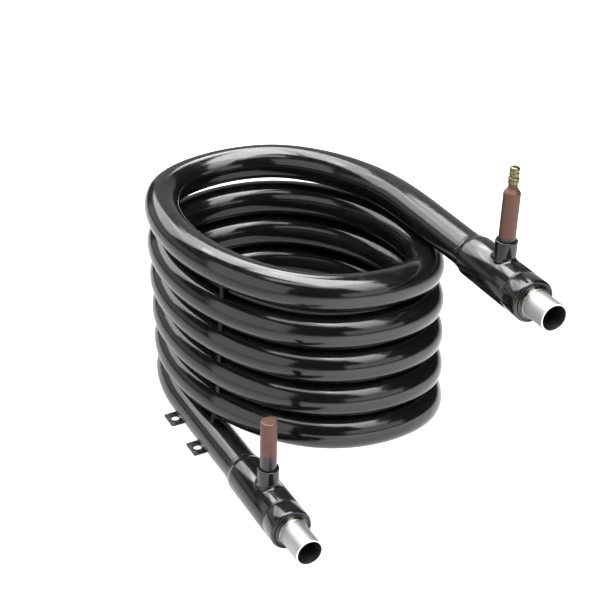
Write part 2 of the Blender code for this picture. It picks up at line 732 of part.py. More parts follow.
# Spacers: each fills the outer side of the groove between two passes, with faces that follow both tubes
def point_below(heading):
    """Centre of the next pass down in the same upright plane, or of the lower lead under the last pass."""
    if heading + 2 * math.pi <= END_HEADING:
        return coil_point(heading + 2 * math.pi)
    here = coil_point(heading)
    start = lower_lead_point(0.0)
    reach = (start.x - here.x) / math.cos(heading)
    return lower_lead_point(start.y - here.y - reach * math.sin(heading))


def spacer(name, heading):
    above = coil_point(heading)
    below = point_below(heading)
    out = Vector((math.cos(heading), math.sin(heading), 0.0))
    down = (below - above).normalized()
    out = (out - down * out.dot(down)).normalized()
    along = out.cross(down)
    distance = (below - above).length
    frame = Matrix.Identity(4)
    for row in range(3):
        frame[row][0] = out[row]
        frame[row][1] = along[row]
        frame[row][2] = -down[row]
        frame[row][3] = above[row]
    reach = SPACER_OUTER_OFFSET - SPACER_INNER_OFFSET
    offsets = [SPACER_INNER_OFFSET + reach * i / SPACER_FACETS for i in range(SPACER_FACETS + 1)]
    depth = [math.sqrt((TUBE_RADIUS + FIT_GAP) ** 2 - o ** 2) for o in offsets]
    upper_face = [(o, -d) for o, d in zip(offsets, depth)]
    lower_face = [(o, d - distance) for o, d in zip(offsets, depth)]
    outline = upper_face + list(reversed(lower_face))
    prism(name, outline, SPACER_WIDTH / 2, frame, black_paint(name + "_paint"))


for number in range(SPACER_COUNT):
    turn_heading = math.radians(SPACER_HEADING_DEG - SPACER_STEP_BACK_DEG * number)
    spacer("spacer_" + str(number + 1), turn_heading + 2 * math.pi * number)

# Put the middle of the footprint, at the lowest point, on the origin
bpy.context.view_layer.update()
graph = bpy.context.evaluated_depsgraph_get()
low = Vector((math.inf, math.inf, math.inf))
high = -low
for part in bpy.context.scene.objects:
    if part.hide_render:
        continue
    for vertex in part.evaluated_get(graph).data.vertices:
        for axis in range(3):
            low[axis] = min(low[axis], vertex.co[axis])
            high[axis] = max(high[axis], vertex.co[axis])
base = Vector(((low.x + high.x) / 2, (low.y + high.y) / 2, low.z))
for part in bpy.context.scene.objects:
    part.location = -base
print("size", [round(v, 4) for v in high - low], "base", [round(v, 5) for v in base])
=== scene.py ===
# %% [markdown]
# # Looks of a coaxial heat exchanger coil
# The object is a tube inside a tube, wound into an oval coil. The outer tube is painted gloss black. A bare
# metal water tube comes out at both ends. Two tees carry upright copper stubs, and one stub has a brass
# access valve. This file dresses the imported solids: it builds finer meshes from the same sizes and gives
# every surface its finish.

# %% Load the solids
import math

import bmesh
import bpy
from mathutils import Matrix, Vector
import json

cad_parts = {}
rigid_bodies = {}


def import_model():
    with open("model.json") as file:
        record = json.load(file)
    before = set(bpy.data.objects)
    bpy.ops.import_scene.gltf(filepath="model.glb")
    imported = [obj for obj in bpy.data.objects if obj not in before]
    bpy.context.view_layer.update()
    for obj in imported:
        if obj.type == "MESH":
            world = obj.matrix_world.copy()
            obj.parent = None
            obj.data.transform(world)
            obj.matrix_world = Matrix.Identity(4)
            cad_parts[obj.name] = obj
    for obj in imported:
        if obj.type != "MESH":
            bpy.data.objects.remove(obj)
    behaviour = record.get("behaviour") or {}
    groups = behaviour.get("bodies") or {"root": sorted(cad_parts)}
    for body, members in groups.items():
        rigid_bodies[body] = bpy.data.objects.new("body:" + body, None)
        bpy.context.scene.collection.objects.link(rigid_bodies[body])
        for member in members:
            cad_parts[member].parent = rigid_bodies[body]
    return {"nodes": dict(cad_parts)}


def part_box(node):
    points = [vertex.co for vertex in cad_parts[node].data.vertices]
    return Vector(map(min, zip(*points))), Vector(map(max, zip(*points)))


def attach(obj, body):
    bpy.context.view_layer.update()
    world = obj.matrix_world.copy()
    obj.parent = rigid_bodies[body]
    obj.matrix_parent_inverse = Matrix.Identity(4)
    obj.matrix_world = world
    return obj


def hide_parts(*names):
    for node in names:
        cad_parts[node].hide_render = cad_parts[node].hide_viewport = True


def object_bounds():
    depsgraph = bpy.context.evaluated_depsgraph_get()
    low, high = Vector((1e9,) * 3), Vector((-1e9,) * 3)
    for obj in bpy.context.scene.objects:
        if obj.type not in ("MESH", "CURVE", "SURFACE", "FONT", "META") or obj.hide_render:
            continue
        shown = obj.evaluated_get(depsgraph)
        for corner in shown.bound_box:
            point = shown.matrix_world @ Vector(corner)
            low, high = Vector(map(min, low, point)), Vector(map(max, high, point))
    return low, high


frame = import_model()
solid_low, solid_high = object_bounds()
print("solids:", len(frame["nodes"]), "size", [round(v, 4) for v in solid_high - solid_low])

# %% [markdown]
# ## Sizes
# These are the driving sizes of the solids, in metres, and everything that is built here comes from them.
# They could be measured off the solids instead, but sizes that can be read say how the object is made. The
# plan of the coil needs only a mean bend radius and two waves of that radius against heading. One wave
# stretches the circle into an oval, and the other squares it.

# %% Sizes of the tubes and the coil
TUBE_RADIUS = 0.0212
TUBE_WALL = 0.0018
PASS_GAP = 0.0017
PITCH = 2 * TUBE_RADIUS + PASS_GAP
MEAN_BEND_RADIUS = 0.1543
OVAL_STRETCH = 0.497
OVAL_TURN_DEG = 18.5
OVAL_SQUARING = 0.319
SQUARING_TURN_DEG = 4.8
PLAN_WAVES = (
    (2, OVAL_STRETCH, math.radians(OVAL_TURN_DEG)),
    (4, OVAL_SQUARING, math.radians(SQUARING_TURN_DEG)),
)
HALF_TURNS = 11
END_HEADING = HALF_TURNS * math.pi
COIL_SLOPE = PITCH / (2 * math.pi * MEAN_BEND_RADIUS)

FIRST_PASS_RISE = 0.0058
UPPER_LEAD_RISE = 0.0047
UPPER_LEAD_INSET = 0.0046
RISE_DONE_DEG = 60.0
FALL_FROM_DEG = 200.0
FALL_DONE_DEG = 350.0
UPPER_LEAD_SLOPE = 0.03
LEAD_EASE_LENGTH = 0.0636
LEAD_AIM_STEP = 0.0100

FIT_GAP = 0.0003
ANNULUS = 0.00315
INNER_WALL = 0.0018
WATER_TUBE_RADIUS = TUBE_RADIUS - TUBE_WALL - ANNULUS
WATER_BORE = WATER_TUBE_RADIUS - INNER_WALL
print("pitch", round(PITCH, 4), "water tube radius", round(WATER_TUBE_RADIUS, 5))

# %% Sizes of the two ends
BRANCH_AT = {"upper": 0.2270, "lower": 0.2261}
BARE_END = {"upper": 0.0344, "lower": 0.0402}
TEE_CLOCK_DEG = {"upper": 3.4, "lower": 1.6}
TUBE_END_BEFORE_BRANCH = 0.0250
WATER_TUBE_BEFORE_BRANCH = 0.0600
SLEEVE_STEP = 0.0038
SLEEVE_RADIUS = TUBE_RADIUS + SLEEVE_STEP
TEE_LENGTH_IN = 0.0635
TEE_LENGTH_OUT = 0.0362
LIP_HEIGHT = 0.0012
LIP_LENGTH = 0.0025
FLARE_LENGTH = 0.0100
BRANCH_RADIUS = 0.0124
BRANCH_TOP = 0.0457
BRANCH_FILLET = 0.0042
BRANCH_CHAMFER = 0.0008
CAP_LENGTH = 0.0250
RIM_ROUND = 0.0032
CONE_LENGTH = 0.0028
CAP_NOSE_WALL = 0.0010
BEAD_HALF_WIDTH = 0.0011
BEAD_ROOT_HALF_WIDTH = 0.0002
BEAD_DEPTH = 0.0021
LIP_BEAD_LENGTH = 0.0015
BRAZE_LENGTH = 0.0014
BRAZE_HEIGHT = 0.0009
MOUTH_FROM_SEAM = {side: CAP_LENGTH + CONE_LENGTH + BARE_END[side] for side in BRANCH_AT}
print("mouths", {side: round(reach, 4) for side, reach in MOUTH_FROM_SEAM.items()}, "past the seams")

# %% Sizes of the stubs and the valve
STUB_RADIUS = 0.009525
STUB_WALL = 0.0012
STUB_BORE = STUB_RADIUS - STUB_WALL
STUB_FOOT = 0.0225
LOWER_STUB_TOP = 0.1080
STUB_END_ROUND = 0.0018
UPPER_STUB_SHOULDER = 0.1008
SHOULDER_HEIGHT = 0.0066
NECK_RADIUS = 0.0052
NECK_BORE = NECK_RADIUS - STUB_WALL
NECK_HEIGHT = 0.0040
NECK_START = UPPER_STUB_SHOULDER + SHOULDER_HEIGHT
NECK_TOP = NECK_START + NECK_HEIGHT
VALVE_FLANGE_RADIUS = 0.00605
VALVE_FLANGE_HEIGHT = 0.0071
VALVE_TAIL_LENGTH = 0.0040
VALVE_SPIGOT_RADIUS = 0.0036
VALVE_SPIGOT_HEIGHT = 0.0050
VALVE_BORE_RADIUS = 0.0020
VALVE_PIN_RADIUS = 0.0016
VALVE_PIN_LENGTH = 0.0060
VALVE_CAP_RADIUS = 0.0056
VALVE_CAP_HEIGHT = 0.0118
VALVE_CAP_WAIST = 0.0007
PAINT_TOP = {"upper": 0.0502, "lower": 0.0648}
print("valve top at", round(NECK_TOP + VALVE_FLANGE_HEIGHT + VALVE_CAP_HEIGHT, 4), "over the lead")

# %% [markdown]
# ## The path of the tube
# On the real coil a bending roll sets the radius. Here the radius is a formula of the heading. It could be
# drawn as a curve with handles, but a formula can be integrated by hand, so the path is exact and every turn
# lies right under the one before. The same functions place the tees, so nothing has to be fitted by eye.


# %% Path of the coil
def smooth(x):
    """Ease from 0 to 1 as x goes from 0 to 1."""
    c = min(max(x, 0.0), 1.0)
    return c * c * (3 - 2 * c)


def plan_point(heading):
    """Centre line of the coil seen from above."""
    x = MEAN_BEND_RADIUS * math.cos(heading)
    y = MEAN_BEND_RADIUS * math.sin(heading)
    for order, share, turn in PLAN_WAVES:
        for k in (order, -order):
            angle = (k + 1) * heading - k * turn
            x += MEAN_BEND_RADIUS * share / 2 * math.cos(angle) / (k + 1)
            y += MEAN_BEND_RADIUS * share / 2 * math.sin(angle) / (k + 1)
    return x, y


def coil_length(heading):
    """Length of tube from the start of the coil."""
    total = MEAN_BEND_RADIUS * heading
    for order, share, turn in PLAN_WAVES:
        swing = math.sin(order * (heading - turn)) + math.sin(order * turn)
        total += MEAN_BEND_RADIUS * share * swing / order
    return total


print("coil:", HALF_TURNS / 2, "turns,", round(coil_length(END_HEADING), 3), "m of tube")

# %% [markdown]
# The first pass stands a little higher than a plain helix, so that the upper end clears the pass under it. A
# smooth ease takes it up, and lets it down again by the end of the turn.

# %% Rise of the first pass
LEAD_EASE_RISE = LEAD_EASE_LENGTH * (COIL_SLOPE + UPPER_LEAD_SLOPE) / 2
START_RISE = UPPER_LEAD_RISE - LEAD_EASE_RISE


def first_pass_rise(heading):
    """How far the first pass stands above a plain helix."""
    degrees = math.degrees(heading)
    if degrees < FALL_FROM_DEG:
        return START_RISE + (FIRST_PASS_RISE - START_RISE) * smooth(degrees / RISE_DONE_DEG)
    return FIRST_PASS_RISE * (1 - smooth((degrees - FALL_FROM_DEG) / (FALL_DONE_DEG - FALL_FROM_DEG)))


def coil_point(heading):
    """Centre line of the coil in space, before it is moved onto the solids."""
    x, y = plan_point(heading)
    inset = UPPER_LEAD_INSET * (1 - smooth(math.degrees(heading) / RISE_DONE_DEG))
    return Vector((x - inset, y, first_pass_rise(heading) - COIL_SLOPE * coil_length(heading)))


print("first pass starts", round(1000 * START_RISE, 2), "mm above a plain helix")

# %% [markdown]
# The two ends run straight out at the front. The lower one keeps the slope of the coil. The upper one climbs
# on for a short way and then falls gently. A parabola joins its two slopes without a kink.


# %% Path of the two straight ends
def upper_lead_point(t):
    """Centre line of the upper end, t metres out from the coil."""
    if t < LEAD_EASE_LENGTH:
        bend = (UPPER_LEAD_SLOPE + COIL_SLOPE) / (2 * LEAD_EASE_LENGTH)
        rise = COIL_SLOPE * t - bend * t * t
    else:
        rise = LEAD_EASE_RISE - UPPER_LEAD_SLOPE * t
    return coil_point(0.0) + Vector((0.0, -t, rise))


def lower_lead_point(t):
    """Centre line of the lower end, t metres out from the coil."""
    return coil_point(END_HEADING) + Vector((0.0, -t, -COIL_SLOPE * t))


LEAD_POINT = {"upper": upper_lead_point, "lower": lower_lead_point}
fall = upper_lead_point(0.0).z - lower_lead_point(0.0).z
print("the ends leave the coil", round(fall, 4), "m apart in height")

# %% [markdown]
# ## Onto the solids
# The path starts at the top of the coil, while the solids stand on the floor. The shift between the two is
# read from two boxes of the solids. The right side and the back of the coil, and the lowest corner of the
# lower water tube, are places that the path also knows.

# %% Shift of the path onto the solids
coil_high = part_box("outer_tube_lower")[1]
water_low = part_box("water_tube_lower")[0]
tilt = math.sqrt(1 + COIL_SLOPE ** 2)
lower_mouth = lower_lead_point(BRANCH_AT["lower"] + TEE_LENGTH_OUT + MOUTH_FROM_SEAM["lower"] / tilt)
SHIFT = Vector((
    coil_high.x - plan_point(0.0)[0] - TUBE_RADIUS,
    coil_high.y - plan_point(math.pi / 2)[1] - TUBE_RADIUS,
    water_low.z - lower_mouth.z + WATER_TUBE_RADIUS / tilt,
))
print("shift", [round(v, 5) for v in SHIFT])


def lead_frame(side, t, clock_deg=0.0):
    """Frame on a straight end: X runs out along it and Z points up."""
    here = LEAD_POINT[side](t)
    out = (LEAD_POINT[side](t + LEAD_AIM_STEP) - here).normalized()
    across = Vector((1.0, 0.0, 0.0))
    up = out.cross(across).normalized()
    made = Matrix.Identity(4)
    for row in range(3):
        made[row][0] = out[row]
        made[row][1] = across[row]
        made[row][2] = up[row]
        made[row][3] = here[row] + SHIFT[row]
    return made @ Matrix.Rotation(math.radians(-clock_deg), 4, "X")


# %% [markdown]
# ## Tools for round pieces
# A swept tube and a turned profile make nearly every piece. Modifiers could do both, but then the corners
# would lose their place on the tube. Here each corner stores where it sits in the tube's own space: round
# the tube, and along it. The finishes read that place, so grain can run along a tube that bends.

# %% Stations along the tube
RINGS_PER_TURN = 120
LEAD_RING_SPACING = 0.012


def path_stations(upper_end, lower_end):
    """Centre, side, up and length for every ring, from the upper end to the lower one."""
    points = []
    headings = []
    count = max(2, round(upper_end / LEAD_RING_SPACING))
    for i in range(count):
        points.append(upper_lead_point(upper_end * (1 - i / count)))
        headings.append(0.0)
    rings = HALF_TURNS * RINGS_PER_TURN // 2
    for i in range(rings + 1):
        headings.append(END_HEADING * i / rings)
        points.append(coil_point(headings[-1]))
    count = max(2, round(lower_end / LEAD_RING_SPACING))
    for i in range(1, count + 1):
        points.append(lower_lead_point(lower_end * i / count))
        headings.append(END_HEADING)
    stations = []
    length = 0.0
    for i, (point, heading) in enumerate(zip(points, headings)):
        before = points[max(i - 1, 0)]
        after = points[min(i + 1, len(points) - 1)]
        length += (point - before).length
        flat = Vector((-math.sin(heading), math.cos(heading), 0.0))
        climb = (after - before).z / (after - before).dot(flat)
        travel = (flat + Vector((0.0, 0.0, climb))).normalized()
        side = Vector((math.cos(heading), math.sin(heading), 0.0))
        stations.append((point + SHIFT, side, side.cross(travel).normalized(), length))
    return stations


TUBE_ENDS = {side: BRANCH_AT[side] - TUBE_END_BEFORE_BRANCH for side in BRANCH_AT}
tube_stations = path_stations(TUBE_ENDS["upper"], TUBE_ENDS["lower"])
print("stations:", len(tube_stations), "over", round(tube_stations[-1][3], 3), "m of tube")

# %% Mesh helpers
SKIN = "tube_space"
SHARP_DEG = 40.0


def bridge(bm, rings):
    """Join every ring of corners to the next one with a band of faces."""
    for ring_a, ring_b in zip(rings, rings[1:]):
        for i in range(len(ring_a)):
            j = (i + 1) % len(ring_a)
            bm.faces.new((ring_a[i], ring_a[j], ring_b[j], ring_b[i]))


def finish_mesh(name, bm, material, placed=None):
    """Named object from a finished mesh, riding on the frame's one body."""
    bmesh.ops.recalc_face_normals(bm, faces=bm.faces)
    mesh = bpy.data.meshes.new(name)
    bm.to_mesh(mesh)
    bm.free()
    if placed is not None:
        mesh.transform(placed)
    mesh.shade_smooth()
    mesh.set_sharp_from_angle(angle=math.radians(SHARP_DEG))
    mesh.materials.append(material)
    piece = bpy.data.objects.new(name, mesh)
    bpy.context.scene.collection.objects.link(piece)
    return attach(piece, "root")


def arc(centre, radius, from_deg, to_deg, steps):
    """Points of a round stretch of a profile, as (along, radius) pairs."""
    points = []
    for i in range(steps + 1):
        angle = math.radians(from_deg + (to_deg - from_deg) * i / steps)
        points.append((centre[0] + radius * math.cos(angle), centre[1] + radius * math.sin(angle)))
    return points


print("every corner keeps its place in the attribute", SKIN)


# %% Turned and swept pieces
def turned(name, profile, placed, material, sides=96, axis="X", closed=True, wobble=None):
    """Turn a profile of (along, radius) points. wobble(angle) may move a point in or out."""
    bm = bmesh.new()
    skin = bm.verts.layers.float_vector.new(SKIN)
    rings = []
    for along, radius in profile:
        ring = []
        for i in range(sides):
            angle = 2 * math.pi * i / sides
            r = radius + (wobble(angle) if wobble else 0.0)
            a = r * math.cos(angle)
            b = r * math.sin(angle)
            corner = bm.verts.new((along, a, b) if axis == "X" else (a, b, along))
            corner[skin] = (a, b, along)
            ring.append(corner)
        rings.append(ring)
    if closed:
        bridge(bm, rings + rings[:1])
    else:
        bridge(bm, rings)
        bm.faces.new(rings[0])
        bm.faces.new(rings[-1])
    return finish_mesh(name, bm, material, placed)


def round_section(radius, sides):
    """Corners of a round section, as (side, up) pairs."""
    angles = [2 * math.pi * i / sides for i in range(sides)]
    return [(radius * math.cos(angle), radius * math.sin(angle)) for angle in angles]


def swept(name, stations, outer, inner, material):
    """Hollow tube: an outer and an inner section, each carried from station to station."""
    bm = bmesh.new()
    skin = bm.verts.layers.float_vector.new(SKIN)
    walls = []
    for section in (outer, inner):
        rings = []
        for point, side, up, length in stations:
            ring = []
            for a, b in section:
                corner = bm.verts.new(point + side * a + up * b)
                corner[skin] = (a, b, length)
                ring.append(corner)
            rings.append(ring)
        bridge(bm, rings)
        walls.append(rings)
    bridge(bm, (walls[0][0], walls[1][0]))
    bridge(bm, (walls[0][-1], walls[1][-1]))
    return finish_mesh(name, bm, material)


# %% [markdown]
# ## Shared effects
# Small faults make paint and metal believable. Each effect is a node group that puts out a mask or a height,
# so it can be placed in several materials with its own amounts: ripple in a paint film, drawn lines along a
# tube, dust that settles on top, and wear on edges. First come a few helpers that keep the node code short.


# %% Node helpers
def put(tree, node, label, value):
    """Set one input, by its name or its number, to a value or a socket."""
    socket = node.inputs[label]
    if isinstance(value, bpy.types.NodeSocket):
        tree.links.new(value, socket)
    else:
        socket.default_value = value


def add(tree, kind, **values):
    """New node with some of its inputs set. A value that is a socket is linked."""
    node = tree.nodes.new(kind)
    for label, value in values.items():
        put(tree, node, label.replace("_", " "), value)
    return node


def maths(tree, operation, a, b=0.0, clamp=False):
    """One sum. a and b may be numbers or sockets."""
    node = tree.nodes.new("ShaderNodeMath")
    node.operation = operation
    node.use_clamp = clamp
    put(tree, node, 0, a)
    put(tree, node, 1, b)
    return node.outputs[0]


# %% Vectors and ranges
def scaled(tree, vector, factors):
    """Vector with each of its three parts multiplied."""
    node = tree.nodes.new("ShaderNodeVectorMath")
    node.operation = "MULTIPLY"
    put(tree, node, 0, vector)
    put(tree, node, 1, factors)
    return node.outputs["Vector"]


def distance_from(tree, vector, centre):
    """How far a place lies from a centre."""
    node = tree.nodes.new("ShaderNodeVectorMath")
    node.operation = "DISTANCE"
    put(tree, node, 0, vector)
    put(tree, node, 1, centre)
    return node.outputs["Value"]


def remap(tree, value, low, high, to_low, to_high):
    """Turn one range of a value into another."""
    node = add(tree, "ShaderNodeMapRange", Value=value,
               From_Min=low, From_Max=high, To_Min=to_low, To_Max=to_high)
    return node.outputs["Result"]


def mask(tree, value, low, high):
    """0 up to one value, 1 from the other on, and a slope between them."""
    return remap(tree, value, low, high, 0.0, 1.0)


# %% Noise and groups
def noise(tree, place, scale, detail, roughness=0.5):
    """Soft random value over a place."""
    node = add(tree, "ShaderNodeTexNoise", Vector=place, Scale=scale, Detail=detail, Roughness=roughness)
    return node.outputs["Fac"]


def spread(tree, value, low, high):
    """Spread a noise over a range. Nearly all of a noise lies between 0.3 and 0.7."""
    return remap(tree, value, 0.3, 0.7, low, high)


def new_group(name, outputs, **amounts):
    """Empty node group. It takes a place and some amounts, and puts out named values."""
    group = bpy.data.node_groups.new(name, "ShaderNodeTree")
    group.interface.new_socket(name="Vector", in_out="INPUT", socket_type="NodeSocketVector")
    for label, value in amounts.items():
        label = label.replace("_", " ")
        socket = group.interface.new_socket(name=label, in_out="INPUT", socket_type="NodeSocketFloat")
        socket.default_value = value
    for label in outputs:
        group.interface.new_socket(name=label, in_out="OUTPUT", socket_type="NodeSocketFloat")
    print("shared effect:", name)
    return group, group.nodes.new("NodeGroupInput"), group.nodes.new("NodeGroupOutput")


# %% [markdown]
# Enamel on a bent tube is never flat. The bending rolls leave long soft waves and shorter dents, and the
# sprayed film dries with a fine skin like orange peel. Three noises of falling size, added as one height,
# give all of it, while a modelled dent would need millions of faces.

# %% Ripple of a paint film
SHORT_WAVE_SHARE = 0.22
PEEL_SHARE = 0.02
paint_ripple, seen, out = new_group("Paint film ripple", ["Height"], Bend_Marks=0.5, Orange_Peel=0.5)
place = seen.outputs["Vector"]
long_waves = noise(paint_ripple, place, scale=34.0, detail=1.0)
short_waves = noise(paint_ripple, place, scale=120.0, detail=2.0)
peel = noise(paint_ripple, place, scale=900.0, detail=2.0)
short_waves = maths(paint_ripple, "MULTIPLY", short_waves, SHORT_WAVE_SHARE)
marks = maths(paint_ripple, "ADD", long_waves, short_waves)
marks = maths(paint_ripple, "MULTIPLY", marks, seen.outputs["Bend Marks"])
peel = maths(paint_ripple, "MULTIPLY", peel, seen.outputs["Orange Peel"])
film = maths(paint_ripple, "ADD", marks, maths(paint_ripple, "MULTIPLY", peel, PEEL_SHARE))
paint_ripple.links.new(film, out.inputs["Height"])

# %% [markdown]
# A tube that is pulled through a die keeps fine lines along its length. A noise that is stretched along the
# tube draws them. A second, even noise clouds the metal, as handling does.

# %% Lines drawn along a tube
LINE_STRETCH = (1.0, 1.0, 0.035)
drawn_lines, seen, out = new_group("Drawn tube lines", ["Lines", "Cloud"], Line_Scale=500.0)
place = seen.outputs["Vector"]
stretched = scaled(drawn_lines, place, LINE_STRETCH)
lines = noise(drawn_lines, stretched, seen.outputs["Line Scale"], detail=4.0, roughness=0.6)
cloud = noise(drawn_lines, place, scale=55.0, detail=3.0)
drawn_lines.links.new(lines, out.inputs["Lines"])
drawn_lines.links.new(cloud, out.inputs["Cloud"])

# %% [markdown]
# Dust lies only where a face looks up, so the specks are multiplied by the upward part of the normal. A slow
# drift thins them out as well, because an even dusting would look printed.

# %% Dust on upward faces
LEAST_DUST = 0.15
dust_on_top, seen, out = new_group("Dust on top", ["Mask"], Amount=0.3)
place = seen.outputs["Vector"]
geometry = dust_on_top.nodes.new("ShaderNodeNewGeometry")
split = add(dust_on_top, "ShaderNodeSeparateXYZ", Vector=geometry.outputs["Normal"])
upward = mask(dust_on_top, split.outputs["Z"], 0.35, 1.0)
specks = noise(dust_on_top, place, scale=1600.0, detail=3.0)
drift = noise(dust_on_top, place, scale=45.0, detail=2.0)
thinned = remap(dust_on_top, drift, 0.42, 0.68, LEAST_DUST, 1.0)
dust = maths(dust_on_top, "MULTIPLY", mask(dust_on_top, specks, 0.56, 0.72), thinned)
dust = maths(dust_on_top, "MULTIPLY", dust, upward)
dust = maths(dust_on_top, "MULTIPLY", dust, seen.outputs["Amount"], clamp=True)
dust_on_top.links.new(dust, out.inputs["Mask"])

# %% [markdown]
# Paint and tarnish rub off first on edges. Pointiness finds the edges from the mesh itself, and a noise
# breaks the rubbed line up, so nothing has to be painted by hand.

# %% Wear on edges
edge_wear, seen, out = new_group("Edge wear", ["Mask"], Amount=0.5)
geometry = edge_wear.nodes.new("ShaderNodeNewGeometry")
edges = mask(edge_wear, geometry.outputs["Pointiness"], 0.52, 0.60)
scuffs = noise(edge_wear, seen.outputs["Vector"], scale=420.0, detail=4.0)
worn = maths(edge_wear, "MULTIPLY", edges, mask(edge_wear, scuffs, 0.40, 0.62))
worn = maths(edge_wear, "MULTIPLY", worn, seen.outputs["Amount"], clamp=True)
edge_wear.links.new(worn, out.inputs["Mask"])

# %% [markdown]
# ## Finishes
# The tube was bent first and painted after, with one glossy coat over bends, tees, beads and tabs. So one
# paint recipe does for all of them, and only its amounts change. The spacers have a duller coat. Black gloss
# shows what it reflects: its own colour is nearly nil.


# %% Material helpers
def new_material(name):
    """Material with its tree and its one shader."""
    material = bpy.data.materials.new(name)
    material.use_nodes = True
    tree = material.node_tree
    print("finish:", name)
    return material, tree, tree.nodes["Principled BSDF"]


def skin_place(tree):
    """Where a point lies in its tube's own space."""
    node = tree.nodes.new("ShaderNodeAttribute")
    node.attribute_name = SKIN
    return node.outputs["Vector"]


def object_place(tree):
    """Where a point lies in the object's own space."""
    return tree.nodes.new("ShaderNodeTexCoord").outputs["Object"]


def group_node(tree, group, **values):
    """Place a shared effect in a material, with its own amounts."""
    node = tree.nodes.new("ShaderNodeGroup")
    node.node_tree = group
    for label, value in values.items():
        put(tree, node, label.replace("_", " "), value)
    return node


def mix_colour(tree, share, a, b):
    """Colour between a and b. The Mix node has its colours at inputs 6 and 7."""
    node = tree.nodes.new("ShaderNodeMix")
    node.data_type = "RGBA"
    for index, value in ((0, share), (6, a), (7, b)):
        put(tree, node, index, value)
    return node.outputs[2]


def raise_surface(tree, shader, height, strength, distance):
    """Let a height shade the surface as if it stood out by a distance in metres."""
    bump = add(tree, "ShaderNodeBump", Strength=strength, Distance=distance, Height=height)
    put(tree, shader, "Normal", bump.outputs["Normal"])


# %% Black gloss paint
BLACK_THICK = (0.0018, 0.0018, 0.0019, 1.0)
BLACK_THIN = (0.0042, 0.0043, 0.0045, 1.0)
RUBBED_PAINT = (0.10, 0.10, 0.10, 1.0)
DUST_GREY = (0.22, 0.21, 0.20, 1.0)
ENAMEL_IOR = 1.50
PAINT_DEPTH = 0.0004
DUST_DULLS = 0.5


def black_paint(name, bend_marks=0.5, peel=0.5, dust=0.25, wear=0.0, in_tube_space=True, shine=0.5):
    """Glossy black enamel. Bend marks are the long soft dents left by the bending rolls."""
    material, tree, shader = new_material(name)
    place = skin_place(tree) if in_tube_space else object_place(tree)
    ripple = group_node(tree, paint_ripple, Vector=place, Bend_Marks=bend_marks, Orange_Peel=peel)
    settled = group_node(tree, dust_on_top, Vector=place, Amount=dust).outputs["Mask"]
    rubbed = group_node(tree, edge_wear, Vector=place, Amount=wear).outputs["Mask"]
    paint = mix_colour(tree, noise(tree, place, scale=18.0, detail=3.0), BLACK_THICK, BLACK_THIN)
    paint = mix_colour(tree, rubbed, paint, RUBBED_PAINT)
    paint = mix_colour(tree, settled, paint, DUST_GREY)
    put(tree, shader, "Base Color", paint)
    gloss = spread(tree, noise(tree, place, scale=60.0, detail=3.0), 0.10, 0.17)
    dulled = maths(tree, "ADD", gloss, maths(tree, "MULTIPLY", settled, DUST_DULLS), clamp=True)
    put(tree, shader, "Roughness", dulled)
    shader.inputs["IOR"].default_value = ENAMEL_IOR
    shader.inputs["Specular IOR Level"].default_value = shine
    raise_surface(tree, shader, ripple.outputs["Height"], strength=1.0, distance=PAINT_DEPTH)
    return material


paint_on_coil = black_paint("black_enamel_coil", bend_marks=0.50)
paint_on_tees = black_paint("black_enamel_tees", bend_marks=0.22, peel=0.8, wear=0.25)
paint_on_beads = black_paint("black_enamel_beads", bend_marks=0.6, peel=1.0, wear=0.5)
paint_on_plate = black_paint("black_enamel_plate", bend_marks=0.3, peel=0.8, wear=0.5, in_tube_space=False)
paint_on_spacers = black_paint("black_enamel_spacers", peel=1.0, dust=0.1, in_tube_space=False, shine=0.12)

# %% [markdown]
# The water tubes are drawn steel, grey and silky, with fine lines along them. Heat from brazing leaves a
# faint straw tint beside the cap. The sawn face at the mouth is given a pale colour, a painted highlight for
# its bright ring, and the bore behind it is darkened with painted shade. Each could be a mesh of its own, but
# the place in the tube's own space already tells them apart. The fluted tube sealed in the coil has the
# plain metal.

# %% Bare drawn tube
STEEL_DARK = (0.30, 0.305, 0.31, 1.0)
STEEL_LIGHT = (0.385, 0.385, 0.38, 1.0)
STEEL_LINE = (0.22, 0.22, 0.22, 1.0)
STRAW_TINT = (0.27, 0.245, 0.21, 1.0)
# Painted highlight on the face at the mouth, and painted shade in the bore
MOUTH_PAINTED_HIGHLIGHT = (0.72, 0.72, 0.71, 1.0)
BORE_PAINTED_SHADE = (0.10, 0.10, 0.102, 1.0)
TINT_LENGTH = 0.016
TINT_SHARE = 0.45
LINE_SHARE = 0.30
CLOUD_HEIGHT = 0.6
MOUTH_HIGHLIGHT_FROM = 0.0007
MOUTH_HIGHLIGHT_FULL = 0.0003
BORE_BLEND = 0.1 * INNER_WALL


